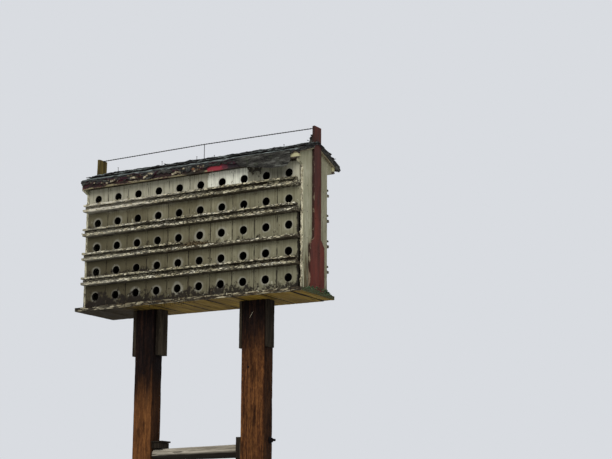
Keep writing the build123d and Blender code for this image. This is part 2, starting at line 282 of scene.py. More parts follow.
def bare_timber(name, along, colours, dirt="#1d1812", dirt_share=0.45, fibre=3.5, depth=0.9, extra=None):
    """Unpainted timber: fibres and broader growth figure along the grain, with dark dirt. The fibres
    are drawn some millimetres wide, coarser than life, so that they show."""
    material, tree, shader, place = new_material(name)
    fibres = figure(tree, place, grain(along, fibre, fibre * 45), 5.0, 0.6)
    rings = figure(tree, place, grain(along, 34.0, 480.0), 3.0, 0.5, 3.1)
    mixed = weighed(tree, (fibres, 0.55), (rings, 0.45))
    wood = node(tree, "ShaderNodeValToRGB", {0: mixed}, stops=list(zip((0.36, 0.5, 0.64), colours)))
    stain = figure(tree, place, grain(along, 70.0, 260.0), 6.0, 0.65, 7.7)
    colour = coat(tree, wood, dirt, stain, 1.0 - dirt_share, 0.75, 0.8)
    if extra:
        colour = extra(tree, place, colour)
    finish_surface(tree, shader, colour, fibres, depth, stain)
    return material


def painted_shade_below(tree, place, colour):
    """Painted shade: blackens what faces down."""
    return coat(tree, colour, "#0e0905", facing(tree, "Z"), 0.2, -0.3, 0.96)


def plank_joints(tree, place, colour):
    """Dark wet lines along the joints of the deck planks, grey tops, green growth on the right end
    face, and shade towards the left end."""
    colour = coat(tree, colour, "#4f493a", facing(tree, "Z"), 0.3, 0.8, 0.75)
    end_face = facing(tree, "X")
    colour = coat(tree, colour, "#211d12", end_face, 0.4, 0.9, 0.8)
    growth = figure(tree, place, (13, 13, 9), 5.0, 0.7, 9.0)
    colour = coat(tree, colour, "#46543f", weighed(tree, (end_face, 1.0), (growth, 1.0)), 1.4, 1.6, 0.85)
    x = node(tree, "ShaderNodeSeparateXYZ", {0: place}, "X")
    pitch = (PLANK_WIDTH + PLANK_JOINT) * MM
    run = weighed(tree, (x, 1 / pitch), extra=-size_of("deck_planks")[0][0] * MM / pitch)
    centred = weighed(tree, (node(tree, "ShaderNodeMath", {0: run}, operation="FRACT"), 1.0), extra=-0.5)
    joint = node(tree, "ShaderNodeMath", {0: centred}, operation="ABSOLUTE")
    soaked = figure(tree, place, (18, 90, 18), 4.0, 0.6, 4.0)
    uneven = figure(tree, place, (420, 260, 60), 2.0, 0.5, 2.0)
    wet = weighed(tree, (joint, 1.0), (soaked, 0.03), (uneven, 0.12))
    colour = coat(tree, colour, "#150f07", wet, 0.525, 0.55, 0.97)
    return coat(tree, colour, "#1d1506", weighed(tree, (x, -1.0), (soaked, 0.6)), 0.06, 0.46, 0.95)


# Oil paint brushed on pine panels, chalked by years of sun: grey green over brown, washed in
# upright streaks, paler round each entrance where birds rub it, dark along joints and ledges
def make_panel_paint():
    material, tree, shader, place = new_material("oil_paint_on_pine_panels_chalked", specular=0.2)
    at = node(tree, "ShaderNodeSeparateXYZ", {0: place}).node.outputs
    run_along = weighed(tree, (at["X"], 1 / (COLUMN_PITCH * MM)), extra=-INNER_LEFT / COLUMN_PITCH)
    run_up = weighed(tree, (at["Z"], 1 / (TIER_PITCH * MM)), extra=-DECK_TOP / TIER_PITCH)
    along = weighed(tree, (node(tree, "ShaderNodeMath", {0: run_along}, operation="FRACT"), 1.0), extra=-0.5)
    share_up = node(tree, "ShaderNodeMath", {0: run_up}, operation="FRACT")
    tone = figure(tree, place, (110, 110, 170), 5.0, 0.62)
    colour = node(tree, "ShaderNodeValToRGB", {0: tone}, stops=[
        (0.33, "#625c45"), (0.5, "#787259"), (0.67, "#8a846b")])

    # Each panel has its own tone, and the left and lower ones are browner
    cell = node(tree, "ShaderNodeCombineXYZ", {
        0: node(tree, "ShaderNodeMath", {0: run_along}, operation="FLOOR"),
        1: node(tree, "ShaderNodeMath", {0: run_up}, operation="FLOOR")})
    own = node(tree, "ShaderNodeTexWhiteNoise", {"Vector": cell}, noise_dimensions="3D")
    colour = coat(tree, colour, "#4d452f", own, 0.2, 1.0, 0.42)
    browned = weighed(tree, (run_along, -0.09), (run_up, -0.1), (tone, 0.7), extra=0.85)
    colour = coat(tree, colour, "#38311f", browned, 0.35, 1.15, 0.86)
    colour = coat(tree, colour, "#2e2717", run_up, 1.3, 0.6, 0.2)

    # Greener and paler to the right, and chalky where it flakes low down on a panel
    colour = coat(tree, colour, "#8b8a73", weighed(tree, (run_along, 1.0), (tone, 3.0)), 6.0, 10.5, 0.36)
    chalk = figure(tree, place, (34, 34, 46), 7.0, 0.72, 17.0)
    colour = coat(tree, colour, "#b3b09a", weighed(tree, (chalk, 1.0), (share_up, -0.2)), 0.53, 0.6, 0.6)

    # The top tier is paler: paint kept best there, dry under the eave, with painted light that lifts
    # the eave's shadow off it
    colour = coat(tree, colour, "#bab6a0", weighed(tree, (run_up, 1.0), (tone, 0.35)), 3.95, 4.25, 0.74)

    # One board that was painted again later, in the front's top tier over columns 7 and 8, and
    # painted shadow of the torn felt to its right. Y sets front and back apart.
    wobble = figure(tree, place, (60, 60, 60), 3.0, 0.6, 2.0)
    wavering = weighed(tree, (run_along, 1.0), (wobble, 0.35))
    top_front = window(tree, weighed(tree, (run_up, 1.0), (at["Y"], -60.0)), 13.64, 14.9, 0.04)
    fresh, felt_shadow = (
        node(tree, "ShaderNodeMath", {0: window(tree, wavering, start, end, soft), 1: top_front},
             operation="MULTIPLY")
        for start, end, soft in ((6.07, 7.82, 0.06), (8.0, 9.3, 0.3)))
    colour = coat(tree, colour, "#efefdc", fresh, 0.1, 1.0, 0.9)
    # Painted shadow that the torn felt casts on the top tier
    colour = coat(tree, colour, "#45453a", felt_shadow, 0.0, 1.0, 0.55)

    # Black rot between the two
    clod = figure(tree, place, (22, 22, 26), 6.0, 0.7, 3.0)
    rotten = weighed(tree, (window(tree, run_along, 7.7, 8.2, 0.2), 0.25), (share_up, 0.5), (clod, 1.0),
                     (felt_shadow, 0.12), (window(tree, run_up, 4.0, 5.0, 0.02), 0.3))
    colour = coat(tree, colour, "#17110c", rotten, 1.47, 1.53, 0.9)

    # Paler rub round each entrance
    across = weighed(tree, (along, COLUMN_PITCH))
    above = weighed(tree, (share_up, TIER_PITCH), extra=-ENTRANCE_HEIGHT)
    away = node(tree, "ShaderNodeVectorMath", {0: node(tree, "ShaderNodeCombineXYZ", {0: across, 1: above})},
                "Value", operation="LENGTH")
    rubbed = weighed(tree, (away, 1.0), (wobble, 30.0), (own, 16.0))
    colour = coat(tree, colour, "#a5a396", rubbed, 68.0, 50.0, 0.4)

    # Rain streaks, shade under the porch above, and mould that climbs from the ledges
    streak = figure(tree, place, (9, 9, 190), 5.0, 0.65, 5.0)
    colour = coat(tree, colour, "#4d4632", streak, 0.46, 0.7, 0.6)
    colour = coat(tree, colour, "#342d1e", weighed(tree, (share_up, 1.0), (streak, 0.12)), 0.87, 0.98, 0.6)
    blotch = figure(tree, place, (30, 30, 34), 7.0, 0.72, 9.0)
    patch = figure(tree, place, (190, 190, 300), 3.0, 0.5, 6.6)
    mould = weighed(tree, (blotch, 1.0), (share_up, -0.42), (run_up, -0.05), (run_along, -0.012),
                    (patch, 0.5), extra=0.03)
    colour = coat(tree, colour, "#1a130d", mould, 0.54, 0.66, 0.93)

    # Paint gone to bare timber in flakes, most along joints and ledges, and dirt in the joints
    flake = figure(tree, place, (26, 26, 44), 7.0, 0.7, 1.3)
    joint = node(tree, "ShaderNodeMath", {0: along}, operation="ABSOLUTE")
    peeled = weighed(tree, (flake, 1.0), (joint, 0.16), (share_up, -0.05))
    fibre = figure(tree, place, (3.0, 3.0, 120), 4.0, 0.6, 4.0)
    wood = coat(tree, "#2c251b", "#6b5d47", fibre, 0.3, 0.7)
    colour = coat(tree, colour, wood, peeled, 0.675, 0.695)
    soiled = figure(tree, place, (14, 14, 60), 4.0, 0.6, 6.0)
    dirt = weighed(tree, (joint, 1.0), (soiled, 0.12), (run_up, -0.003))
    colour = coat(tree, colour, "#1e180f", dirt, 0.525, 0.555, 0.9)

    # Rot where the three lower tiers have shrunk back from the right corner
    low_tiers = window(tree, run_up, -1.0, float(ROTTED_TIERS), 0.02)
    corner = weighed(tree, (run_along, 1.0), (blotch, 0.3), (low_tiers, 0.15))
    colour = coat(tree, colour, "#130e09", corner, COLUMNS + 0.13, COLUMNS + 0.2, 0.95)

    # Bare timber inside the entrances, near black
    rim = ENTRANCE_DIAMETER / 2
    colour = coat(tree, colour, "#130f0b", away, rim + 1.6, rim + 0.4)
    relief = weighed(tree, (fibre, 0.35), (flake, -0.5))
    finish_surface(tree, shader, colour, relief, 0.7, tone)
    return material


def peeling_paint(name, along, paint, wood, scale, gap, cover, grime="#1b1812", grime_share=0.35, extra=None):
    """Old oil paint on pine that has shrunk and split into scales with dark gaps, curled off to
    grey timber in places. Scale gives a plate's size in millimetres, gap how wide the cracks gape,
    cover how much keeps its paint, and extra more tones."""
    material, tree, shader, place = new_material(name, specular=0.2)
    tone = figure(tree, place, grain(along, 60.0, 190.0), 5.0, 0.62, 1.0)
    colour = node(tree, "ShaderNodeValToRGB", {0: tone}, stops=list(zip((0.34, 0.5, 0.66), paint)))
    wander = figure(tree, place, (30, 30, 30), 3.0, 0.6, 8.0)
    bend = node(tree, "ShaderNodeCombineXYZ", {
        0: weighed(tree, (wander, 0.02)), 2: weighed(tree, (wander, 0.012))})
    bent = node(tree, "ShaderNodeVectorMath", {0: place, 1: bend}, operation="ADD")
    plates = node(tree, "ShaderNodeMapping", {0: bent, 3: tuple(1000.0 / s for s in scale)})
    cracks = node(tree, "ShaderNodeTexVoronoi", {"Vector": plates, "Scale": 1.0, "Randomness": 1.0},
                  "Distance", feature="DISTANCE_TO_EDGE")
    split = weighed(tree, (cracks, 1.0), (wander, -0.12))
    flake = figure(tree, place, [2.2 * s for s in scale], 7.0, 0.7, 2.0)
    fibre = figure(tree, place, grain(along, 3.0, 110.0), 4.0, 0.6, 4.0)
    timber = coat(tree, wood[0], wood[1], fibre, 0.3, 0.7)
    colour = coat(tree, colour, timber, flake, cover, cover + 0.02)
    colour = coat(tree, colour, "#17130e", split, gap, gap - 0.05, 0.85)
    soil = figure(tree, place, grain(along, 45.0, 150.0), 6.0, 0.65, 11.0)
    colour = coat(tree, colour, grime, soil, 1.0 - grime_share, 0.8, 0.75)
    if extra:
        colour = extra(tree, place, colour)
    finish_surface(tree, shader, colour, weighed(tree, (fibre, 0.3), (flake, -1.2), (split, 0.6)), 0.9, flake)
    return material


def porch_tones(tree, place, colour):
    """Porch edges: paint kept best at the top porch's right end and paler on the left halves, fine
    cracks, dirt on the right ends, painted shade on risers and undersides, and rot where a rail is
    lost."""
    at = node(tree, "ShaderNodeSeparateXYZ", {0: place}).node.outputs
    spots = figure(tree, place, (70, 30, 20), 6.0, 0.7, 6.0)
    top_right = weighed(tree, (at["Z"], 1.0), (at["X"], 0.5), (spots, 0.1))
    kept = node(tree, "ShaderNodeMapRange", {0: top_right, 1: 4.32, 2: 4.42})
    # Painted shade on the undersides, except where the top porch keeps its paint
    below = weighed(tree, (facing(tree, "Z"), 1.0), (kept, 1.0))
    colour = coat(tree, colour, "#352b1b", below, -0.2, -0.7, 0.75)
    top_left = weighed(tree, (at["Z"], 1.0), (at["X"], -0.14), (spots, 0.3))
    colour = coat(tree, colour, "#ded7c4", top_left, 3.87, 3.96, 0.55)
    colour = coat(tree, colour, "#e2dbc6", at["X"], 0.2, -0.3, 0.18)
    crack = figure(tree, place, (60, 26, 8), 6.0, 0.7, 19.0)
    colour = coat(tree, colour, "#1d160e", crack, 0.545, 0.565, 0.88)
    colour = coat(tree, colour, "#2b2216", facing(tree, "X"), 0.5, 0.9, 0.6)
    # Painted shade on the risers, set back between rail and floor
    away = node(tree, "ShaderNodeMath", {0: at["Y"]}, operation="ABSOLUTE")
    colour = coat(tree, colour, "#2b2216", weighed(tree, (away, 1.0), (kept, 0.01)), 0.2, 0.197, 0.55)
    floor_top = floor_of(LOST_RAIL_TIER)
    along = weighed(tree, (at["X"], 1.0), (spots, 0.2))
    lost = node(tree, "ShaderNodeMath", {
        0: window(tree, at["Z"], (floor_top - FLOOR_THICKNESS - 2.0) * MM, (floor_top + 4.0) * MM, 0.002),
        1: window(tree, along, LOST_RAIL_START * MM + 0.1, 2.0, 0.05)}, operation="MULTIPLY")
    return coat(tree, colour, "#2f2618", weighed(tree, (lost, 0.5), (spots, 1.0)), 0.98, 1.06, 0.85)


def fascia_tones(tree, place, colour):
    """Along the fascia from the left: a cream lower lip, rust over black, bright red, plum, black
    rot and a piece scraped to cream."""
    at = node(tree, "ShaderNodeSeparateXYZ", {0: place}).node.outputs
    low, high = size_of("front_fascia")
    up = weighed(tree, (at["Z"], 1000.0 / (high[2] - low[2])), extra=-low[2] / (high[2] - low[2]))
    wander = figure(tree, place, (45, 45, 16), 5.0, 0.7, 3.0)
    wide = figure(tree, place, (160, 40, 22), 5.0, 0.65, 5.0)
    moved = weighed(tree, (at["X"], 1.0), (wander, 0.16))
    colour = coat(tree, colour, "#5d2630", wide, 0.54, 0.62, 0.8)
    colour = coat(tree, colour, "#8b8168", weighed(tree, (wander, 1.0), (up, -0.18)), 0.54, 0.59, 0.7)
    lip = weighed(tree, (up, 1.0), (wander, 1.0), (wide, 1.0))
    colour = coat(tree, colour, "#8d8364", lip, 1.12, 1.02, 0.85)
    rusty = window(tree, moved, 0.52, 0.65, 0.02)
    colour = coat(tree, colour, "#8c6243", weighed(tree, (rusty, 1.0), (wander, 1.2)), 1.5, 1.6, 0.9)
    black = weighed(tree, (rusty, 1.0), (up, -1.0), (wander, -0.5))
    colour = coat(tree, colour, "#141b1a", black, 0.1, 0.35, 0.9)
    colour = coat(tree, colour, "#4f222b", window(tree, moved, 0.76, 0.85, 0.03), 0.1, 0.9, 0.9)
    bright = weighed(tree, (window(tree, moved, 0.68, 0.8, 0.02), 1.0), (wander, 1.2), (wide, 0.8),
                     (up, -0.1))
    colour = coat(tree, colour, "#842c34", bright, 1.82, 1.92, 0.92)
    colour = coat(tree, colour, "#1e161b", window(tree, moved, 0.86, 1.26, 0.03), 0.1, 0.9, 0.92)
    scraped = window(tree, moved, 1.3, 1.6, 0.01)
    colour = coat(tree, colour, "#a9a37f", weighed(tree, (scraped, 1.0), (wander, -0.2)), 0.2, 0.7, 0.95)
    torn = weighed(tree, (scraped, 1.0), (up, -1.6), (wander, -0.4))
    return coat(tree, colour, "#2c1c24", torn, 0.15, 0.35, 0.9)


def red_board_tones(tree, place, colour):
    """Front edge of the red board weathered to dark brown and in painted shade, its top darker, its foot
    brighter.
    """
    height = node(tree, "ShaderNodeSeparateXYZ", {0: place}, "Z")
    peel = figure(tree, place, (16, 16, 60), 6.0, 0.7, 14.0)
    chipped = weighed(tree, (peel, 1.0), (height, -0.12), extra=0.4)
    edge = coat(tree, "#241610", "#857b64", chipped, 0.5, 0.56)
    # Brown weathering and painted shade on the front edge
    colour = coat(tree, colour, edge, facing(tree, "Y"), -0.3, -0.8, 0.85)
    colour = coat(tree, colour, "#2c1b18", height, 3.35, 3.95, 0.42)
    return coat(tree, colour, "#5a1f18", height, 3.3, 3.12, 0.3)


def wall_tones(tree, place, colour):
    """End walls: chipped cream on their front and back edges, a duller back half, brown rain
    streaks, most at their feet, and a rotted strip at the foot between edge and red board."""
    at = node(tree, "ShaderNodeSeparateXYZ", {0: place}).node.outputs
    streak = figure(tree, place, (13, 13, 210), 6.0, 0.68, 5.0)
    edge = node(tree, "ShaderNodeMath", {0: at["Y"]}, operation="ABSOLUTE")
    across = node(tree, "ShaderNodeMath", {0: facing(tree, "Y")}, operation="ABSOLUTE")
    chips = figure(tree, place, (9, 20, 34), 6.0, 0.7, 21.0)
    rim = coat(tree, "#c2bb9f", "#31271a", chips, 0.5, 0.56, 0.9)
    colour = coat(tree, colour, rim, weighed(tree, (across, 1.0), (edge, 10.0)), 2.1, 2.4, 0.9)
    colour = coat(tree, colour, "#4a3f2b", weighed(tree, (at["Y"], 1.0), (streak, 0.2)), 0.12, 0.2, 0.3)
    rain = weighed(tree, (streak, 1.0), (at["Z"], -0.2), (edge, 0.6), extra=0.615)
    colour = coat(tree, colour, "#32281a", rain, 0.53, 0.66, 0.85)
    foot = window(tree, weighed(tree, (at["Y"], 1.0), (streak, 0.05)), -0.115, -0.085, 0.02)
    rotted = weighed(tree, (foot, 1.0), (streak, 0.6), (at["Z"], -1.0), extra=2.32)
    return coat(tree, colour, "#443519", rotted, 0.2, 0.5, 0.8)


# Fir posts soaked in dark stain: near black under the house, where no sun reaches and in painted
# shade there, with painted shade on their right sides, orange and red brown streaks lower down,
# upright checks, and splashed soil at the foot
def make_post_timber():
    material, tree, shader, place = new_material("sawn_fir_posts_dark_stained")
    at = node(tree, "ShaderNodeSeparateXYZ", {0: place}).node.outputs
    fibre = figure(tree, place, (3.5, 3.5, 110), 6.0, 0.7)
    streak = figure(tree, place, (17, 17, 700), 5.0, 0.6, 4.0)
    fleck = figure(tree, place, (14, 14, 34), 7.0, 0.75, 9.0)
    mixed = weighed(tree, (fibre, 0.4), (streak, 0.32), (fleck, 0.28))
    lower = node(tree, "ShaderNodeValToRGB", {0: mixed}, stops=[
        (0.38, "#1a0e08"), (0.47, "#3f2413"), (0.54, "#643f21"), (0.63, "#8a5d33")])
    upper = node(tree, "ShaderNodeValToRGB", {0: mixed}, stops=[
        (0.38, "#030202"), (0.5, "#100908"), (0.6, "#2c1b13")])
    lower = coat(tree, lower, "#8a5a30", at["X"], 0.5, 0.0, 0.14)
    under_cleats = size_of("post_cleats")[0][2] * MM
    drift = weighed(tree, (at["Z"], 1.0), (streak, 0.5), (at["X"], -0.3), extra=-0.02)
    # Near black above the cleats: stain and painted shade under the deck
    colour = coat(tree, lower, upper, drift, under_cleats - 0.2, under_cleats + 0.14)
    blotch = figure(tree, place, (60, 60, 240), 5.0, 0.65, 7.0)
    colour = coat(tree, colour, "#150b07", blotch, 0.5, 0.7, 0.7)
    # Painted shade on the right side faces
    colour = coat(tree, colour, "#0c0605", facing(tree, "X"), 0.3, 0.8, 0.7)
    colour = coat(tree, colour, "#4d4234", weighed(tree, (at["Z"], 1.0), (blotch, -0.35)), 0.25, -0.1, 0.75)
    finish_surface(tree, shader, colour, mixed, 2.2, blotch)
    return material


# Bitumen felt shingles faced with mineral granules: blue grey where they lie to the sky, black
# and in places plum on broken edges, with painted shade on the sides turned from the sky, pale
# folds, bare black creases and a little moss. The granules are drawn at 3.5 mm, coarser than
# life, so that they show.
def make_roofing(name, tones, edge_and_shade_share, plum_share):
    material, tree, shader, place = new_material(name, roughness=0.9, specular=0.12)
    grit = node(tree, "ShaderNodeTexVoronoi", {"Vector": place, "Scale": 1000.0 / 3.5}, "Color")
    speck = node(tree, "ShaderNodeSeparateXYZ", {0: grit})
    tone = figure(tree, place, (90, 60, 26), 6.0, 0.68)
    colour = node(tree, "ShaderNodeValToRGB", {0: tone}, stops=list(zip((0.36, 0.47, 0.58, 0.72), tones)))
    colour = coat(tree, colour, "#55524c", speck, 0.0, 1.0, 0.25)
    moss = figure(tree, place, (60, 60, 60), 6.0, 0.7, 12.0)
    colour = coat(tree, colour, "#333b28", moss, 0.57, 0.66, 0.5)
    bleached = figure(tree, place, (130, 16, 7), 6.0, 0.7, 15.0)
    colour = coat(tree, colour, "#84887f", bleached, 0.56, 0.7, 0.6)
    plum = figure(tree, place, (130, 80, 30), 5.0, 0.65, 22.0)
    broken_edge_and_shade = facing(tree, "Z")
    # Black on broken edges and, as painted shade, on sides turned from the sky
    colour = coat(tree, colour, "#161112", weighed(tree, (broken_edge_and_shade, 1.0), (plum, -0.5)), 0.5, 0.1, edge_and_shade_share)
    at = node(tree, "ShaderNodeSeparateXYZ", {0: place}).node.outputs
    stretch = node(tree, "ShaderNodeMath", {
        0: window(tree, at["X"], -1.0, 0.1, 0.2), 1: window(tree, at["X"], 0.66, 0.84, 0.06)},
        operation="MAXIMUM")
    wine = weighed(tree, (plum, 1.0), (broken_edge_and_shade, -0.5), (stretch, 0.12), (at["Z"], -3.0), extra=11.865)
    colour = coat(tree, colour, "#33161f", wine, 0.56, 0.64, plum_share)
    crease = figure(tree, place, (80, 14, 8), 6.0, 0.7, 5.0)
    colour = coat(tree, colour, "#0b0a0a", crease, 0.54, 0.6, 0.9)
    finish_surface(tree, shader, colour, weighed(tree, (speck, 0.5), (crease, -1.5)), 2.0)
    return material


def rusted_steel(name, dark, pale):
    """Low-carbon steel rusted through its scale, dull and rough."""
    material, tree, shader, place = new_material(name, roughness=0.8, metallic=0.35)
    rust = figure(tree, place, (4, 4, 4), 6.0, 0.7)
    finish_surface(tree, shader, coat(tree, dark, pale, rust, 0.4, 0.62), rust, 0.25, rust)
    return material


def loose_matter(name, colours, size):
    """Crumbly stuff in three tones, such as moss or an old nest, in lumps of the given size."""
    material, tree, shader, place = new_material(name, roughness=0.95, specular=0.15)
    lump = figure(tree, place, (size, size, size), 5.0, 0.7)
    colour = node(tree, "ShaderNodeValToRGB", {0: lump}, stops=list(zip((0.38, 0.5, 0.62), colours)))
    finish_surface(tree, shader, colour, lump, 0.8)
    return material


# The material of each slot
slot_materials = {
    "panel_paint": make_panel_paint(),

    # Cream paint on the porch edges, split across the grain: pale scales with dark gaps between
    "porch_paint": peeling_paint(
        "oil_paint_split_in_scales_on_pine", "X", ("#968e6f", "#c8c0a1", "#ece6cf"), ("#241d13", "#675840"),
        (36.0, 24.0, 9.0), 0.12, 0.56, grime="#2a2317", grime_share=0.46, extra=porch_tones),

    # Thinner paint on the upright boards of the end walls, mostly whole: grey green and streaked
    "end_wall_paint": peeling_paint(
        "oil_paint_on_upright_pine_boards", "Z", ("#848168", "#949178", "#a4a189"), ("#3a3022", "#77674d"),
        (22.0, 22.0, 160.0), -0.045, 0.72, grime="#554c37", grime_share=0.36, extra=wall_tones),

    # Red paint nearly gone from the fascia: rotten black boards with plum, rust and cream remains
    "fascia_paint": peeling_paint(
        "red_oil_paint_peeled_from_pine", "X", ("#1c1315", "#26171a", "#391d22"), ("#1d1512", "#4d3c30"),
        (60.0, 20.0, 13.0), 0.08, 0.56, grime_share=0.5, extra=fascia_tones),

    # Barn red paint brushed up and down, still whole: even and deep, with brown dirt in the strokes
    "red_board_paint": peeling_paint(
        "barn_red_oil_paint_brushed_on_pine", "Z", ("#401f17", "#53251b", "#612c21"), ("#2a1c17", "#5e4a3c"),
        (20.0, 20.0, 160.0), -0.045, 0.73, grime="#2a1614", grime_share=0.45, extra=red_board_tones),

    "post_timber": make_post_timber(),
    "roofing": make_roofing(
        "bitumen_felt_shingles_granule_faced", ("#262a29", "#535a57", "#7a8380", "#a3aca9"), 0.82, 0.8),

    # Bare timbers: oak gone dark grey, a pine pole silvered above and black below in painted shade,
    # fir planks still ochre in the dry, dark pine inside, grey pine under the roofing and a planed
    # board gone yellow
    "weathered_timber": bare_timber("sawn_oak_greyed", "Z", ("#120e0a", "#231d16", "#433b2f")),
    "pole_timber": bare_timber("peeled_pine_pole_silvered", "X", ("#5d564a", "#948c7c", "#b8b1a1"),
                               # The pole's underside gets painted shade
                               dirt_share=0.42, extra=painted_shade_below),
    "deck_timber": bare_timber("sawn_fir_planks_weathered", "Y", ("#3b2c0d", "#68521f", "#8c732e"),
                               fibre=5.0, extra=plank_joints),
    "inner_timber": bare_timber("sawn_pine_dark_inside", "Z", ("#17120e", "#2a2119", "#403528")),
    "roof_timber": bare_timber("sawn_pine_roof_boards", "X", ("#4a4133", "#7a705a", "#9c937b"),
                               dirt_share=0.5),
    "bare_board": bare_timber("planed_pine_yellowed", "Z", ("#282011", "#524627", "#81703c"),
                              dirt_share=0.45),

    # Wire that has rusted nearly black
    "wire_steel": rusted_steel("steel_wire_drawn_rusted", "#0b090a", "#221b1c")}

# Pale paint on sawn plank ends, which soak up rain and shed it first: long scales, much bare wood
deck_lip_paint = peeling_paint(
    "oil_paint_peeled_from_sawn_plank_ends", "X", ("#857c62", "#a1977b", "#c0b79e"), ("#211910", "#5e4f37"),
    (70.0, 20.0, 10.0), 0.1, 0.5, grime="#1d160c", grime_share=0.58)

# The roof's felt torn loose, its granules shed: black, with grey creases
torn_roofing = make_roofing(
    "bitumen_felt_torn_and_creased", ("#141312", "#272623", "#42413c", "#65655f"), 0.0, 0.0)

# Brown nail heads, and loose matter: pale curled paint, the same darker, brown mud with
# straw, and dark green moss
rusted_nail = rusted_steel("iron_nails_rusted", "#1b1310", "#4a3125")
paint_curl = loose_matter("oil_paint_flakes_curled", ("#6e664e", "#a0977b", "#cdc5ac"), 30.0)
eave_curl = loose_matter("oil_paint_curls_darkened", ("#1d1414", "#5e5443", "#aba188"), 30.0)
nest_stuff = loose_matter("mud_and_straw_from_old_nests", ("#120d08", "#33291b", "#7c6f52"), 9.0)
moss = loose_matter("moss_cushions_living", ("#1b2517", "#35442e", "#5a684b"), 9.0)

for part in frame["record"]["subparts"]:
    solid = nodes[part["node"]].data
    if not solid.materials:
        solid.materials.append(None)
    for index in range(len(solid.materials)):
        solid.materials[index] = slot_materials[part["material_slot"]]


# Worn timbers
def rounded_outline(width, depth, radius, cell):
    """Points and outward directions round a rectangle with rounded corners, counterclockwise."""
    half_width, half_depth = width / 2, depth / 2
    corners = [(-half_width, -half_depth), (half_width, -half_depth), (half_width, half_depth),
               (-half_width, half_depth)]
    loop = []
    for (ax, ay), (bx, by) in zip(corners, corners[1:] + corners[:1]):
        run = math.hypot(bx - ax, by - ay)
        inner = max(1, round((run - 2 * radius) / cell))
        places = [0.0, radius * 0.5]
        places += [radius + (run - 2 * radius) * i / inner for i in range(inner + 1)]
        places.append(run - radius * 0.5)
        for place in places:
            x, y = ax + (bx - ax) * place / run, ay + (by - ay) * place / run
            cx = max(-half_width + radius, min(half_width - radius, x))
            cy = max(-half_depth + radius, min(half_depth - radius, y))
            out = Vector((x - cx, y - cy)).normalized()
            loop.append((cx + out.x * radius, cy + out.y * radius, out.x, out.y))
    return loop


def tube_faces(stations, ring):
    """Faces of a closed tube whose points come in rings, one ring at each station."""
    faces = [tuple(reversed(range(ring))), tuple(range((stations - 1) * ring, stations * ring))]
    for station in range(stations - 1):
        a, b = station * ring, (station + 1) * ring
        for index in range(ring):
            after = (index + 1) % ring
            faces.append((a + index, a + after, b + after, b + index))
    return faces


def beam(low, high, axis, cell=8.0, step_length=8.0, radius=2.0, wear=0.6, bites=0.0, bite_size=35.0,
         checks=0.0, ragged=(0.0, 0.0), taper=None, seed=0.0):
    """A worn timber inside a box, its grain along one axis. Wear only takes material away: gentle
    hollows, bites out of the edges, checks along the grain and ragged ends. Cell and step length
    set how fine its mesh is, and seed moves the wear's pattern."""
    run = "XYZ".index(axis)
    first, second = [i for i in range(3) if i != run]
    width, depth = high[first] - low[first], high[second] - low[second]
    middle = [(low[i] + high[i]) / 2 for i in range(3)]
    outline = rounded_outline(width, depth, min(radius, width / 3, depth / 3), cell)
    count = max(2, round((high[run] - low[run]) / step_length))
    points = []
    for station in range(count + 1):
        along = low[run] + (high[run] - low[run]) * station / count
        narrow = taper(along) if taper else (1.0, 1.0)
        for a, b, out_a, out_b in outline:
            a, b = a * narrow[0], b * narrow[1]
            corner = 4 * abs(out_a * out_b) ** 2
            worn = wear * (0.7 + 0.5 * jitter(a * 1.7 + seed, b * 1.7, along * 0.5, 30.0)
                           + 0.2 * jitter(a * 3 + seed, b * 3, along, 9.0))
            if checks:
                worn += checks * max(0.0, jitter(a + seed * 3, b, along * 0.04, 7.0) - 0.32) / 0.5
            if bites:
                gouge = jitter(a * 0.6 + seed * 5, b * 0.6, along, bite_size)
                worn += bites * (0.35 + 0.65 * corner) * max(0.0, gouge - 0.12) / 0.6
            a, b = a - out_a * worn, b - out_b * worn
            place = along
            if station == 0 and ragged[0]:
                place += ragged[0] * (0.5 + 0.5 * jitter(a * 2, b * 2, seed, 14.0))
            if station == count and ragged[1]:
                place -= ragged[1] * (0.5 + 0.5 * jitter(a * 2, b * 2, seed + 9, 14.0))
            point = [0.0, 0.0, 0.0]
            point[run] = place
            point[first], point[second] = middle[first] + a, middle[second] + b
            points.append(point)
    return points, tube_faces(count + 1, len(outline))


def reach_between(shape, bottom, top, start=0.0, height=1.0):
    """Stretch a timber, made from a start height up, so that it follows two heights given by Y."""
    points, faces = shape
    for point in points:
        low, high = bottom(point[1]), top(point[1])
        point[2] = low + (high - low) * ((point[2] - start) / height)
    return points, faces


def roof_underside(y):
    """Underside of the roof boards at a distance from the ridge line."""
    return RIDGE_UNDERSIDE - abs(y) * SLOPE


def covering_bottom(y):
    """Top of the roof boards, on which the covering lies."""
    return roof_underside(y) + BOARD_RISE


def bar(start, end, radius, sides=10, head=0.0, bend=0.0):
    """Round bar between two points, with a head of the given radius at its end."""
    start, end = Vector(start), Vector(end)
    axis = (end - start).normalized()
    side = axis.orthogonal().normalized()
    other = axis.cross(side)
    stations = [(i / 8, radius) for i in range(9)]
    if head:
        thick = radius * 0.8 / (end - start).length
        stations[-1] = (1 - thick, radius)
        stations += [(1 - thick, head), (1.0, head * 0.92)]
    points = []
    for share, size in stations:
        middle = start.lerp(end, share) + side * bend * math.sin(math.pi * share)
        for index in range(sides):
            angle = 2 * math.pi * index / sides
            rough = size * (1.0 + 0.12 * jitter(index * 9.0, share * 60.0, start.x, 8.0))
            points.append(list(middle + (side * math.cos(angle) + other * math.sin(angle)) * rough))
    return points, tube_faces(len(stations), sides)


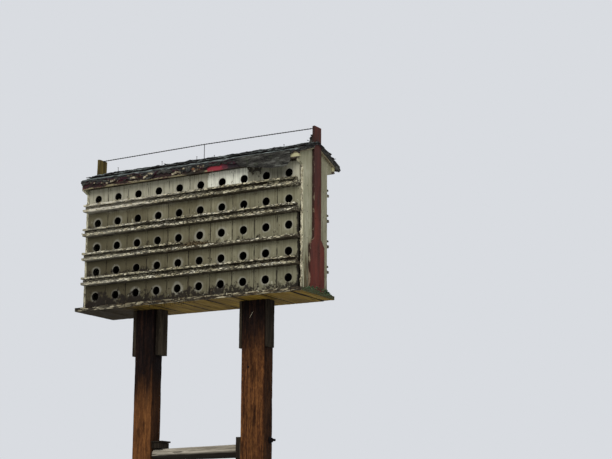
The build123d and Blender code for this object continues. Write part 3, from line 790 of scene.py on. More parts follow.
# Posts, sawn fir with open checks
left_post, right_post = size_of("left_post"), size_of("right_post")
for name, (low, high), seed in (("left_post", left_post, 3.0), ("right_post", right_post, 11.0)):
    make_object(f"{name}_timber", [beam(
        low, high, "Z", cell=7.0, step_length=16.0, radius=9.0, wear=1.6, checks=5.0, bites=2.0,
        bite_size=60.0, seed=seed)], "post_timber", (name,))

# Black iron nails driven into the posts' fronts
post_front = left_post[0][1]
make_object("post_nails", [
    bar((x, post_front + 3.0, z), (x, post_front - 0.5, z), 4.0, head=7.0)
    for x, z in ((-2.0, 2631.0), (834.0, 2625.0))], "wire_steel")

# Cleats under the deck, two beside each post: thick ones flush with the left post's back, thin
# ones flush with the right post's front
low, high = size_of("post_cleats")
cleat_width = 89.0
parts = []
for (post_low, post_high), thickness, flush in ((left_post, 38.0, 1), (right_post, 19.0, -1)):
    span = (high[1] - cleat_width, high[1]) if flush == 1 else (low[1], low[1] + cleat_width)
    for start in (post_low[0] - thickness, post_high[0]):
        parts.append(beam([start, span[0], low[2]], [start + thickness, span[1], high[2]], "Z", cell=6.0,
                          step_length=10.0, radius=2.5, wear=1.0, bites=3.0, checks=3.0, ragged=(2.0, 0.0),
                          seed=start))
make_object("post_cleat_boards", parts, "weathered_timber", ("post_cleats",))

# Cleat, block and plate that carry the pole
low, high = size_of("pole_cleat")
make_object("pole_cleat_board", [
    beam(low, high, "Z", cell=6.0, step_length=8.0, radius=2.5, wear=1.0, bites=3.0, checks=3.0,
         ragged=(2.0, 2.0), seed=21.0)], "weathered_timber", ("pole_cleat",))
low, high = size_of("pole_block")
block_length, half_block, plate_thickness = 80.0, 44.5, 12.0
seat = high[2] - plate_thickness
make_object("pole_block_and_plate", [
    beam([low[0], -half_block, low[2]], [low[0] + block_length, half_block, seat], "X", cell=6.0,
         step_length=8.0, radius=2.5, wear=0.9, bites=3.0, checks=2.0, ragged=(0.0, 3.0), seed=31.0),
    beam([low[0], low[1], seat], high, "X", cell=6.0, step_length=8.0, radius=2.0, wear=0.7, bites=2.5,
         ragged=(0.0, 4.0), seed=35.0)], "weathered_timber", ("pole_block",))

# Bolt that comes out of the right post's side: shank, washer and nut
bolt_y, bolt_z = 26.0, 2158.0
post_side = right_post[1][0]
make_object("post_bolt", [
    bar((post_side + start, bolt_y, bolt_z), (post_side + end, bolt_y, bolt_z), radius, sides=sides)
    for start, end, radius, sides in (
        (-4.0, 36.0, 8.0, 10), (-3.0, 2.0, 22.0, 20), (1.0, 17.0, 15.0, 6))],
    "wire_steel", smooth=False)


def peeled_pole():
    """Checked pole, a little higher and thicker at its right end."""
    low, high = size_of("cross_pole")
    left_height, right_height, left_radius, right_radius = 2084.0, 2093.0, 39.0, 44.0
    ring, count = 56, 110
    points = []
    for station in range(count + 1):
        share = station / count
        x = low[0] + (high[0] - low[0]) * share
        z = left_height + (right_height - left_height) * share
        radius = left_radius + (right_radius - left_radius) * share
        for index in range(ring):
            angle = 2 * math.pi * index / ring
            a, b = math.cos(angle), math.sin(angle)
            worn = 1.4 * (0.5 + 0.5 * jitter(x * 0.3, a * 40, b * 40, 22.0))
            worn += 4.5 * max(0.0, jitter(x * 0.03, a * 44, b * 44, 5.5) - 0.38) / 0.4
            points.append((x, a * (radius - worn), z + b * (radius - worn)))
    return points, tube_faces(count + 1, ring)


make_object("peeled_pole", [peeled_pole()], "pole_timber", ("cross_pole",))

# Deck planks across the house, the last one broken off at its back corner, painted on their ends
deck_low, deck_high = size_of("deck_planks")
parts = []
left = deck_low[0]
while left < deck_high[0]:
    right_edge = min(left + PLANK_WIDTH, deck_high[0])
    last = right_edge == deck_high[0]
    broken = 85.0 if last else 7.0
    splintered = 38.0 if left == deck_low[0] else 7.0
    parts.append(beam([left, deck_low[1], deck_low[2]], [right_edge, deck_high[1], deck_high[2]], "Y",
                      cell=9.0, step_length=9.0, radius=2.5, wear=3.6 if last else 1.2,
                      bites=8.0 if last else 3.5, ragged=(splintered, broken), seed=left))
    left = right_edge + PLANK_JOINT
deck = make_object("deck_planking", parts, "deck_timber", ("deck_planks",))
deck.data.materials.append(deck_lip_paint)
for face in deck.data.polygons:
    centre = face.center / MM
    if abs(face.normal.y) > 0.5 or abs(centre.y) > deck_high[1] - 8.0:
        face.material_index = 1

# Tier floors whose lips have weathered back
for tier in PORCH_TIERS:
    low, high = size_of(f"tier_{tier}_floor")
    rot = 8.0 if tier in (3, 5) else 5.0
    make_object(f"porch_floor_{tier}", [
        beam(low, high, "X", cell=14.0, step_length=9.5, radius=2.0, wear=1.2, bites=rot, bite_size=26.0,
             ragged=(3.0, 3.0), seed=tier * 17.0)], "porch_paint", (f"tier_{tier}_floor",))

# Rails and the risers that carry them, a strip along each porch that stops short where it is lost.
# Each kind has its setback and width, its height above the floor and thickness, its bites on the
# lower porches and on the top one, its ragged ends and its step length.
strips = (
    ("rail", 0.0, RAIL_WIDTH, RISER_HEIGHT, RAIL_THICKNESS, 3.5, 6.5, (4.0, 16.0), 7.5),
    ("riser", RISER_SETBACK, RISER_THICKNESS, 0.0, RISER_HEIGHT, 3.0, 3.0, (2.0, 9.0), 12.0))
for name, face in SIDES:
    for kind, setback, width, bottom, thickness, bites, top_bites, ragged, step_length in strips:
        span = sorted((face * (PORCH_EDGE - setback), face * (PORCH_EDGE - setback - width)))
        parts = []
        for tier in PORCH_TIERS:
            end = LOST_RAIL_START if face == -1 and tier == LOST_RAIL_TIER else INNER_RIGHT
            low = [INNER_LEFT, span[0], floor_of(tier) + bottom]
            high = [end, span[1], floor_of(tier) + (bottom + thickness)]
            parts.append(beam(low, high, "X", cell=6.0, step_length=step_length, radius=2.0, wear=1.1,
                              bites=top_bites if tier == TIERS else bites, bite_size=30.0,
                              ragged=ragged, seed=tier * 7.0 + face + bottom))
        make_object(f"{name}_{kind}_strips", parts, "porch_paint", (f"{name}_porch_{kind}s",))


def new_tree(name, first_values):
    """Geometry node tree with named inputs, each of the kind of its first value, or a geometry where
    there is none. Gives back the tree, its inputs' identifiers by name, and what they give."""
    tree = bpy.data.node_groups.new(name, "GeometryNodeTree")
    kinds = {int: "Int", float: "Float", tuple: "Vector", type(None): "Geometry"}
    identifiers = {}
    for label, value in first_values.items():
        kind = "NodeSocket" + kinds[type(value)]
        socket = tree.interface.new_socket(label, in_out="INPUT", socket_type=kind)
        if value is not None:
            socket.default_value = value
        identifiers[label] = socket.identifier
    tree.interface.new_socket("Geometry", in_out="OUTPUT", socket_type="NodeSocketGeometry")
    return tree, identifiers, node(tree, "NodeGroupInput").node.outputs


def finish_tree(tree, instances, material):
    """End of a geometry node tree: its instances made real, with their material."""
    real = node(tree, "GeometryNodeRealizeInstances", {"Geometry": instances})
    finished = node(tree, "GeometryNodeSetMaterial", {"Geometry": real, "Material": material})
    node(tree, "NodeGroupOutput", {0: finished})


def grown(tree, identifiers, values, name, base=None):
    """Plain mesh that a node tree makes with the given inputs, on an optional base mesh. Its carrier
    goes again, and the modifier with it."""
    carrier = bpy.data.objects.new(name + "_carrier", base or bpy.data.meshes.new(name + "_base"))
    bpy.context.scene.collection.objects.link(carrier)
    modifier = carrier.modifiers.new("nodes", "NODES")
    modifier.node_group = tree
    for label, value in values.items():
        modifier[identifiers[label]] = value
    bpy.context.view_layer.update()
    graph = bpy.context.evaluated_depsgraph_get()
    mesh = bpy.data.meshes.new_from_object(carrier.evaluated_get(graph))
    bpy.data.objects.remove(carrier)
    mesh.name = name
    return mesh


def entrance_row_tree(material):
    """Row of panels, each a plate with a round entrance, set a little unevenly."""
    tree, identifiers, given = new_tree("entrance_panel_row", {
        "Columns": COLUMNS, "Column Pitch": COLUMN_PITCH * MM, "Panel Width": 0.1, "Panel Height": 0.1,
        "Panel Thickness": 0.01, "Entrance Diameter": 0.05, "Entrance Height": 0.07,
        "Row Start": (0, 0, 0), "Facing": 0.0, "Seed": 1})
    plate = node(tree, "GeometryNodeCurvePrimitiveQuadrilateral",
                 {"Width": given["Panel Width"], "Height": given["Panel Height"]})
    radius = node(tree, "ShaderNodeMath", {0: given["Entrance Diameter"], 1: 0.5}, operation="MULTIPLY")
    rise = node(tree, "ShaderNodeMath", {0: given["Panel Height"], 1: -0.5, 2: given["Entrance Height"]},
                operation="MULTIPLY_ADD")
    hole = node(tree, "GeometryNodeCurvePrimitiveCircle", {"Resolution": 40, "Radius": radius})
    placed = node(tree, "GeometryNodeTransform", {
        "Geometry": hole, "Translation": node(tree, "ShaderNodeCombineXYZ", {1: rise})})
    outline = node(tree, "GeometryNodeJoinGeometry", {0: [plate, placed]})
    filled = node(tree, "GeometryNodeFillCurve", {"Curve": outline})
    thick = node(tree, "GeometryNodeExtrudeMesh", {
        "Mesh": filled, "Offset Scale": given["Panel Thickness"], "Individual": False})
    turned = node(tree, "GeometryNodeFlipFaces", {"Mesh": filled})
    whole = node(tree, "GeometryNodeMergeByDistance", {
        "Geometry": node(tree, "GeometryNodeJoinGeometry", {0: [thick, turned]}), "Distance": 0.00005})
    line = node(tree, "GeometryNodeMeshLine", {
        "Count": given["Columns"], "Start Location": given["Row Start"],
        "Offset": node(tree, "ShaderNodeCombineXYZ", {0: given["Column Pitch"]})})
    tilt, shift = (
        node(tree, "FunctionNodeRandomValue", {0: tuple(-v for v in most), 1: most, "Seed": given["Seed"]},
             data_type="FLOAT_VECTOR")
        for most in ((0.004, 0.006, 0.006), (0.0006, 0.0008, 0.0)))
    upright = node(tree, "ShaderNodeCombineXYZ", {0: math.pi / 2, 2: given["Facing"]})
    turn = node(tree, "ShaderNodeVectorMath", {0: upright, 1: tilt}, operation="ADD")
    rows = node(tree, "GeometryNodeInstanceOnPoints", {"Points": line, "Instance": whole, "Rotation": turn})
    moved = node(tree, "GeometryNodeTranslateInstances", {"Instances": rows, "Translation": shift})
    finish_tree(tree, moved, material)
    return tree, identifiers


# Entrance panels, tier by tier on both sides, their edges worn round
row_tree, row_inputs = entrance_row_tree(slot_materials["panel_paint"])
for name, face in SIDES:
    for tier in ALL_TIERS:
        row_bottom = floor_of(tier)
        row = grown(row_tree, row_inputs, {
            "Columns": COLUMNS, "Column Pitch": COLUMN_PITCH * MM,
            "Panel Width": (COLUMN_PITCH - PANEL_JOINT) * MM,
            "Panel Height": PANEL_HEIGHT * MM, "Panel Thickness": PANEL_THICKNESS * MM,
            "Entrance Diameter": ENTRANCE_DIAMETER * MM, "Entrance Height": ENTRANCE_HEIGHT * MM,
            "Row Start": (FIRST_COLUMN * MM, face * (HALF_DEPTH - PANEL_THICKNESS) * MM,
                          (row_bottom + PANEL_HEIGHT / 2) * MM),
            "Facing": 0.0 if face == -1 else math.pi, "Seed": tier + (20 if face == 1 else 0)},
            f"{name}_entrance_row_{tier}")
        if face == -1 and tier <= ROTTED_TIERS:
            for vertex in row.vertices:
                x, y, z = vertex.co / MM
                if x > INNER_RIGHT - 20.0:
                    share = (z - row_bottom) / PANEL_HEIGHT
                    vertex.co.x -= MM * (ROTTED_GAP - 3.0 * share - 3.0 * jitter(x, y, z, 30.0))
        piece = dress(f"{name}_entrance_row_{tier}", row, "panel_paint", (f"{name}_panels_{tier}",),
                      smooth=False)
        edge = piece.modifiers.new("worn_edges", "BEVEL")
        edge.width = 1.2 * MM
        edge.segments = 2
        edge.limit_method = "ANGLE"
        edge.angle_limit = math.radians(50)

# End walls of four upright boards, cut to the roof's slope
WALL_BOARDS, HALF_JOINT = 4, 0.8
for name in ("left_end_wall", "right_end_wall"):
    low, high = size_of(name)
    width = (high[1] - low[1]) / WALL_BOARDS
    parts = []
    for index in range(WALL_BOARDS):
        start = low[1] + index * width
        outer = index in (0, WALL_BOARDS - 1)
        shape = beam([low[0], start + HALF_JOINT, low[2]], [high[0], start + width - HALF_JOINT, high[2]],
                     "Z", cell=8.0, step_length=13.0, radius=2.5, wear=0.9, bites=3.0 if outer else 1.0,
                     checks=1.0, seed=index * 13.0 + low[0])
        parts.append(reach_between(shape, lambda y: low[2], roof_underside, low[2], high[2] - low[2]))
    make_object(f"{name}_boards", parts, "end_wall_paint", (name,))

# Gable boards, wide at the foot and narrow above sloping shoulders, the left one pulled in by the wire
for name, slot, lean in (("left_gable_board", "bare_board", 9.0),
                         ("right_gable_board", "red_board_paint", 0.0)):
    low, high = size_of(name)
    foot, neck, shoulder = high[1] - low[1], 89.0, low[2] + 296.0

    def narrowing(z):
        share = min(1.0, max(0.0, (z - shoulder) / ((foot - neck) / 2)))
        return 1.0, 1.0 + (neck / foot - 1.0) * share

    points, faces = beam(low, high, "Z", cell=8.0, step_length=9.0, radius=2.5, wear=0.9, bites=2.2,
                         checks=1.2, ragged=(0.0, 5.0), taper=narrowing, seed=low[0] * 0.1)
    for point in points:
        point[0] += lean * max(0.0, (point[2] - shoulder) / (high[2] - shoulder)) ** 2
    make_object(f"{name}_plank", [(points, faces)], slot, (name,))

# Fascia boards, their tops cut to the roof's slope. The front one is broken off at its right end.
for name, face in SIDES:
    low, high = size_of(f"{name}_fascia")
    shape = beam([low[0], low[1], 0.0], [high[0], high[1], high[2] - low[2]], "X", cell=6.0,
                 step_length=6.0, radius=2.0, wear=1.4, bites=7.0 if face == -1 else 3.0, bite_size=28.0,
                 ragged=(6.0, 14.0), seed=41.0 + face)
    broken_from = high[0] - 75.0
    for point in shape[0]:
        point[2] /= high[2] - low[2]
        if face == -1 and point[0] > broken_from:
            point[2] = max(point[2], 0.24 + 0.16 * jitter(point[0], 0.0, 5.0, 22.0))
    make_object(f"{name}_fascia_board", [reach_between(shape, lambda y: low[2], roof_underside)],
                "fascia_paint", (f"{name}_fascia",))

# Roof boards, two to a slope
for name, face in SIDES:
    low, high = size_of(f"{name}_roof_boards")
    reach = max(abs(low[1]), abs(high[1]))
    parts = []
    for start, end in ((1.0, reach / 2 - 1.0), (reach / 2 + 1.0, reach)):
        span = sorted((face * start, face * end))
        shape = beam([low[0], span[0], 0.0], [high[0], span[1], BOARD_RISE], "X", cell=12.0, step_length=18.0,
                     radius=1.5, wear=0.5, bites=2.0, ragged=(3.0, 3.0), seed=start + face)
        parts.append(reach_between(shape, roof_underside, covering_bottom, height=BOARD_RISE))
    make_object(f"{name}_roof_planks", parts, "roof_timber", (f"{name}_roof_boards",))

# Attic floor in three boards, and the blocks that close the ends of the eaves
low, high = size_of("attic_floor")
width = (high[1] - low[1]) / 3
make_object("attic_floor_boards", [
    beam([low[0], low[1] + width * i + 0.6, low[2]], [high[0], low[1] + width * (i + 1) - 0.6, high[2]],
         "X", cell=16.0, step_length=28.0, radius=2.0, wear=0.6, bites=2.0, seed=61.0 + i)
    for i in range(3)], "inner_timber", ("attic_floor",))
low, high = size_of("eave_end_blocks")
fascia_bottom = size_of("front_fascia")[0][2]
block_height = 80.0
parts = []


def block_bottom(y):
    """Underside of an eave's end block, sloping from the wall out to the fascia."""
    share = (abs(y) - HALF_DEPTH) / (high[1] - HALF_DEPTH)
    return low[2] + share * (fascia_bottom - low[2])


for start, end in ((low[0], INNER_LEFT), (INNER_RIGHT, high[0])):
    for face in (-1, 1):
        span = sorted((face * HALF_DEPTH, face * high[1]))
        shape = beam([start, span[0], 0.0], [end, span[1], block_height], "X", cell=6.0, step_length=6.0,
                     radius=2.0, wear=0.8, bites=2.0, checks=0.6, seed=start + face)
        parts.append(reach_between(shape, block_bottom, roof_underside, height=block_height))
make_object("eave_end_block_boards", parts, "end_wall_paint", ("eave_end_blocks",))


def sheet_faces(columns, rows):
    """Faces of a thin sheet from two layers of points, closed round its rim."""
    stride = rows + 1
    block = (columns + 1) * stride
    faces = []
    for i in range(columns):
        for j in range(rows):
            a = i * stride + j
            faces.append((a, a + 1, a + stride + 1, a + stride))
            faces.append((block + a, block + a + stride, block + a + stride + 1, block + a + 1))
    for i in range(columns):
        for a in (i * stride, i * stride + rows):
            faces.append((a, a + stride, block + a + stride, block + a))
    for j in range(rows):
        for a in (j, columns * stride + j):
            faces.append((a, a + 1, block + a + 1, block + a))
    return faces


def felt_course(face, start, end, lift_start, lift_end, curl, x_low, x_high, seed, droop=0.0, thickness=4.0,
                fray=18.0, wrinkle=8.0):
    """One course of roofing down the slope, from its tucked edge to a lifted, frayed butt. Start and
    end are distances from the ridge line, each with its lift off the boards."""
    columns, rows = round((x_high - x_low) / 8.0), 11
    points = []
    for layer in (0.0, thickness):
        for i in range(columns + 1):
            x = x_low + (x_high - x_low) * i / columns
            wave = jitter(x, seed * 40.0, 0.0, 120.0)
            reach = end - fray * max(0.0, 0.3 + jitter(x, seed * 40.0, 50.0, 30.0) + 0.8 * wave)
            for j in range(rows + 1):
                share = j / rows
                y = start + (reach - start) * share
                lift = lift_start + (lift_end - lift_start) * share
                lift += curl * share ** 3 * (0.6 + 0.8 * wave)
                creased = jitter(x * 0.7, y * 2.0, seed * 9.0, 38.0) + 0.4 * jitter(x, y, seed, 13.0)
                lift += wrinkle * share * creased
                lift -= droop * share ** 3 * (1.0 + 0.4 * jitter(x, seed, 0.0, 60.0))
                points.append((x, face * y, covering_bottom(y) + lift + layer))
    return points, sheet_faces(columns, rows)


def torn_hem(x_low, x_high, y_low, y_high, top, seed):
    """Felt that hangs over the front eave in folds, torn off along a wandering lower edge."""
    columns, rows = round((x_high - x_low) / 6.0), 8
    points = []
    for layer in (0.0, 3.0):
        for i in range(columns + 1):
            x = x_low + (x_high - x_low) * i / columns
            drop = 27.0 + 22.0 * jitter(x, seed, 0.0, 95.0) + 22.0 * jitter(x, seed, 9.0, 30.0)
            drop = max(5.0, min(drop + 7.0 * jitter(x, seed, 4.0, 10.0), 54.0))
            for j in range(rows + 1):
                down = j / rows
                fold = jitter(x * 0.8, down * 14.0, seed, 22.0) + 0.5 * jitter(x, down * 20.0, seed, 10.0)
                y = (y_low + y_high) / 2 + 0.9 * fold * (y_high - y_low) * min(1.0, 0.3 + down)
                points.append((x, max(y_low, min(y, y_high)) + layer, top - drop * down))
    return points, sheet_faces(columns, rows)


def rake_roll(face, end, x_low, x_high, above, below, seed):
    """Felt rolled over one end of a slope, lumpy, from the ridge down to the eave."""
    span = sorted((face * 44.0, face * end))
    shape = beam([x_low, span[0], -below], [x_high, span[1], above], "Y", cell=5.0, step_length=5.0,
                 radius=9.0, wear=2.0, bites=12.0, bite_size=30.0, ragged=(6.0, 6.0), seed=seed)
    for point in shape[0]:
        point[2] += covering_bottom(point[1])
    return shape


# Felt courses on both slopes, thin and drooping at the front eave, thick and curled at the back.
# Each slope has its direction, eave, lift of the butts, curl, droop and thickness of the rolls.
(x_low, front_low, _), (x_high, _, _) = size_of("front_shingles")
front_eave, front_board = -front_low, -size_of("front_roof_boards")[0][1]
exposure = 57.0
slopes = {
    "front": (-1, front_eave, 15.0, 5.0, 8.0, 16.0),
    "back": (1, size_of("back_shingles")[1][1], 30.0, 9.0, 5.0, 30.0)}
rolls = []
for name, (face, edge, butt, curl, droop, roll) in slopes.items():
    span = (x_low, x_high)
    second, third = edge - 2 * exposure, edge - 3 * exposure
    parts = [felt_course(face, 0.0, second, 9.0, butt, curl, *span, 1.0),
             felt_course(face, third, edge - exposure, 4.0, butt, curl, *span, 2.0),
             felt_course(face, second, edge, 2.0, 4.0, 2.0, *span, 3.0, droop=droop, thickness=6.0, fray=5.0),
             felt_course(face, third, edge - exposure - 6, 1.0, butt * 0.5, curl, *span, 4.0),
             felt_course(face, 0.0, second - 5, 2.0, butt * 0.5, curl, *span, 5.0)]
    rolls += [rake_roll(face, edge - 6.0, x_high - 20.0, x_high, roll, 14.0, 7.0 + face),
              rake_roll(face, edge - 6.0, x_low, x_low + 16.0, roll * 0.6, 8.0, 9.0 + face)]
    if face == -1:
        hem_top = covering_bottom(edge)
        parts.append(torn_hem(x_low, x_high, -edge, -front_board - 4.0, hem_top + 6.0, 12.0))
    make_object(f"{name}_felt_courses", parts, "roofing", (f"{name}_shingles",))

make_object("felt_rolled_over_rakes", rolls, "roofing", material=torn_roofing)

# Black underlay felt that shows between the folds of the hem along the left two thirds
make_object("underlay_shreds", [
    torn_hem(x_low + 4.0, 800.0, -front_eave + 2.0, -front_board - 5.0, hem_top + 2.0, 31.0)],
    "roofing", material=torn_roofing)

# Ridge capping, folded over both slopes
cap_edge = size_of("ridge_cap")[1][1]
make_object("ridge_capping", [
    felt_course(face, 0.0, cap_edge - inset, lift, lift + 4.0, 3.0, x_low, x_high, seed + face, thickness=6.0)
    for face in (-1, 1) for inset, lift, seed in ((0.0, 16.0, 6.0), (8.0, 10.0, 9.0))],
    "roofing", ("ridge_cap",))


def torn_sheet():
    """Torn roofing that hangs over the fascia near the right end, crumpled in slanting folds. The
    pairs give how far it hangs at shares of its length."""
    low, high = size_of("torn_roofing")
    hang_top = high[2] - 24.0
    hang = [(0.0, 0.0), (0.11, 38.0), (0.4, 60.0), (0.68, 78.0), (0.88, 80.0), (0.96, 70.0), (1.0, 46.0)]
    columns, rows = 90, 20
    points = []
    for layer in (0.0, 3.0):
        for i in range(columns + 1):
            share = i / columns
            x = low[0] + (high[0] - low[0]) * share
            for (a, drop_a), (b, drop_b) in zip(hang, hang[1:]):
                if a <= share <= b:
                    drop = drop_a + (drop_b - drop_a) * (share - a) / (b - a)
            bottom = hang_top - min(drop + 5.0 * jitter(x, 3.0, 0.0, 18.0), hang_top - low[2] - 0.5)
            for j in range(rows + 1):
                down = j / rows
                z = high[2] + (bottom - high[2]) * down
                fold = 8.0 * jitter(x * 0.5 + z * 0.6, 9.0, z * 1.4, 24.0)
                fold += 3.0 * jitter(x, 4.0, z * 2.0, 12.0)
                y = low[1] + 1.0 + 7.0 * min(1.0, 2.0 * down) + max(-7.0, fold) * min(1.0, 2.5 * down)
                points.append((x, min(y, low[1] + 16.0) + layer, z))
    return points, sheet_faces(columns, rows)


make_object("torn_felt", [torn_sheet()], "roofing", ("torn_roofing",), torn_roofing)


def curled_scrap(x, y, z, width, length, turn, seed, heading=0.0):
    """Scrap of felt that stands up from the ridge and curls over by an angle, to the left or turned
    from there by the heading, both in radians."""
    columns, rows = 8, 16
    radius = length / turn
    points = []
    for layer in (0.0, 2.5):
        for i in range(columns + 1):
            for j in range(rows + 1):
                share = j / rows
                angle = turn * share
                side = width * (i / columns - 0.5) * (1.0 - 0.5 * share)
                twist = 4.0 * jitter(i * 6.0, j * 5.0, seed, 16.0)
                over, side = twist - (radius - layer) * (1 - math.cos(angle)), side + twist
                points.append((x + over * math.cos(heading) - side * math.sin(heading),
                               y + over * math.sin(heading) + side * math.cos(heading),
                               z + (radius - layer) * math.sin(angle)))
    return points, sheet_faces(columns, rows)


ridge_top = size_of("ridge_cap")[1][2]
make_object("loose_felt_scraps", [
    curled_scrap(x_high - 12.0, -12.0, ridge_top - 14.0, 34.0, 74.0, 1.9, 3.0),
    curled_scrap(x_high - 19.0, -16.0, ridge_top - 14.0, 44.0, 62.0, 1.1, 13.0, 1.2),
    curled_scrap(x_high - 36.0, -26.0, ridge_top - 16.0, 36.0, 44.0, 0.9, 18.0, 1.9),
    curled_scrap(x_high - 52.0, -20.0, ridge_top - 16.0, 26.0, 40.0, 1.5, 8.0),
    curled_scrap(INNER_LEFT + 560.0, -34.0, ridge_top - 22.0, 24.0, 30.0, 1.4, 5.0)],
    "roofing", material=torn_roofing)

# Nails that have worked up through the ridge, the tallest ones to the left
make_object("ridge_nails", [
    bar((x, y, ridge_top - 26.0), (x + 2.0, y, ridge_top + rise), 1.7, head=4.5, bend=1.5)
    for x, y, rise in ((-311.0, -6.0, 27.0), (69.0, -5.0, 24.0), (363.0, -8.0, 19.0),
                       (505.0, -4.0, 10.0), (1059.0, -7.0, 10.0))], "wire_steel", material=rusted_nail)


def twisted_wire():
    """Two strands wound round each other along the perch wire's line."""
    low, high = size_of("perch_wire")
    centre, half = (low[0] + high[0]) / 2, (high[0] - low[0]) / 2
    strand, pitch, count, sides = 2.0, 42.0, 420, 6
    top = high[2] - 2 * strand
    rise = high[2] - low[2] - 4 * strand
    shapes = []
    for start in (0.0, math.pi):
        points = []
        for station in range(count + 1):
            x = low[0] + 1.0 + (2 * half - 2.0) * station / count
            z = top - rise * (math.hypot(x - centre, 40.0) - 40.0) / half
            angle = start + 2 * math.pi * (x - low[0]) / pitch
            y, z = strand * math.cos(angle), z + strand * math.sin(angle)
            for index in range(sides):
                around = 2 * math.pi * index / sides
                points.append((x, y + strand * math.cos(around), z + strand * math.sin(around)))
        shapes.append((points, tube_faces(count + 1, sides)))
    return shapes


make_object("twisted_perch_wire", twisted_wire(), "wire_steel", ("perch_wire",))
low, high = size_of("wire_prop")
middle_x = (low[0] + high[0]) / 2
make_object("wire_prop_rod", [
    bar((middle_x, 0.0, low[2]), (middle_x, 0.0, high[2]), 2.2, sides=12, bend=0.2)],
    "wire_steel", ("wire_prop",))


def scatter_tree(name, material, crumbs):
    """Loose bits scattered over a base mesh: round crumbs, or thin flakes that curl away."""
    tree, identifiers, given = new_tree(name, {
        "Base": None, "Density": 100.0, "Smallest": 0.004, "Largest": 0.01, "Curl": 0.5,
        "Turn": (0, 0, 0), "Tilt": 0.4, "Spin": 0.3, "Seed": 1})
    spread = node(tree, "GeometryNodeDistributePointsOnFaces", {
        "Mesh": given["Base"], "Density": given["Density"], "Seed": given["Seed"]}).node.outputs
    where = node(tree, "GeometryNodeInputPosition")
    if crumbs:
        ball = node(tree, "GeometryNodeMeshIcoSphere", {"Radius": 0.5, "Subdivisions": 1})
        lump = node(tree, "ShaderNodeTexNoise", {"Vector": where, "Scale": 2.4}, "Color")
        push = node(tree, "ShaderNodeVectorMath", {0: lump, 1: (-0.5, -0.5, -0.5)}, operation="ADD")
        bent = node(tree, "GeometryNodeSetPosition", {"Geometry": ball, "Offset": push})
    else:
        plate = node(tree, "GeometryNodeMeshGrid", {
            "Size X": 1.0, "Size Y": 0.3, "Vertices X": 5, "Vertices Y": 3})
        x = node(tree, "ShaderNodeSeparateXYZ", {0: where})
        from_root = weighed(tree, (x, 1.0), extra=0.5)
        squared = node(tree, "ShaderNodeMath", {0: from_root, 1: 2.0}, operation="POWER")
        lift = node(tree, "ShaderNodeMath", {0: squared, 1: given["Curl"]}, operation="MULTIPLY")
        curled = node(tree, "GeometryNodeSetPosition", {
            "Geometry": plate, "Offset": node(tree, "ShaderNodeCombineXYZ", {2: lift})})
        thick = node(tree, "GeometryNodeExtrudeMesh", {
            "Mesh": curled, "Offset Scale": 0.06, "Individual": False})
        bent = node(tree, "GeometryNodeJoinGeometry", {
            0: [thick, node(tree, "GeometryNodeFlipFaces", {"Mesh": curled})]})
    most = node(tree, "ShaderNodeCombineXYZ", {0: given["Tilt"], 1: given["Tilt"], 2: given["Spin"]})
    least = node(tree, "ShaderNodeVectorMath", {0: most, 1: (-1.0, -1.0, -1.0)}, operation="MULTIPLY")
    spin = node(tree, "FunctionNodeRandomValue", {0: least, 1: most, "Seed": given["Seed"]},
                data_type="FLOAT_VECTOR")
    turn = node(tree, "FunctionNodeRotateRotation", {0: given["Turn"], 1: spin}, rotation_space="LOCAL")
    size = node(tree, "FunctionNodeRandomValue", {
        2: given["Smallest"], 3: given["Largest"], "Seed": given["Seed"]}, 1, data_type="FLOAT")
    bits = node(tree, "GeometryNodeInstanceOnPoints", {
        "Points": spread["Points"], "Instance": bent, "Rotation": turn, "Scale": size})
    finish_tree(tree, bits, material)
    return tree, identifiers


def scatter(kind, name, quads, slot, material, values):
    """Piece of loose bits that a tree of the given kind grows over flat quads in millimetres."""
    tree, identifiers = kind
    base = bpy.data.meshes.new(name + "_places")
    points = [[c * MM for c in corner] for quad in quads for corner in quad]
    base.from_pydata(points, [], [tuple(range(4 * i, 4 * i + 4)) for i in range(len(quads))])
    dress(name, grown(tree, identifiers, values, name, base), slot, material=material)


def upright_quad(face, y, x_low, x_high, z_low, z_high):
    """Quad in a plane of constant Y that faces the front (-1) or the back (1)."""
    quad = [(x_low, y, z_low), (x_high, y, z_low), (x_high, y, z_high), (x_low, y, z_high)]
    return quad if face == -1 else quad[::-1]


def flat_quad(x_low, x_high, y_low, y_high, z):
    """Level quad that faces up."""
    return [(x_low, y_low, z), (x_high, y_low, z), (x_high, y_high, z), (x_low, y_high, z)]


# Paint flakes that curl off the ledges, the deck's lip and the right wall's front edge
flakes = scatter_tree("paint_flakes", paint_curl, False)
for side, face in SIDES:
    ledges, lips = [], []
    ledge_y, lip_y = face * (PORCH_EDGE - 2.0), face * (deck_high[1] - 3.0)
    for tier in PORCH_TIERS:
        top = floor_of(tier)
        rail = top + RISER_HEIGHT
        end = LOST_RAIL_START if face == -1 and tier == LOST_RAIL_TIER else INNER_RIGHT - 20
        for low, high in ((top - FLOOR_THICKNESS + 2, top - 1), (rail + 1, rail + RAIL_THICKNESS)):
            ledges.append(upright_quad(face, ledge_y, INNER_LEFT + 4, end, low, high))
    for start, end in ((-90.0, 225.0), (306.0, 442.0), (561.0, deck_high[0] - 6)):
        lips.append(upright_quad(face, lip_y, start, end, deck_high[2] - 11, deck_high[2] - 1))
    for name, quads, density, large, seed in (
            (f"{side}_ledge_paint_flakes", ledges, 3400.0, 0.024, 3),
            (f"{side}_deck_lip_flakes", lips, 1800.0, 0.02, 5)):
        scatter(flakes, name, quads, "porch_paint", paint_curl, {
            "Density": density, "Smallest": 0.006, "Largest": large, "Curl": 0.3, "Seed": seed,
            "Turn": (-face * math.pi / 2, 0, 0), "Tilt": 0.35, "Spin": 0.28})
wall_edge = upright_quad(-1, -HALF_DEPTH + 2.0, INNER_RIGHT + 2, wall_high[0] - 2, DECK_TOP + 10, 3880.0)
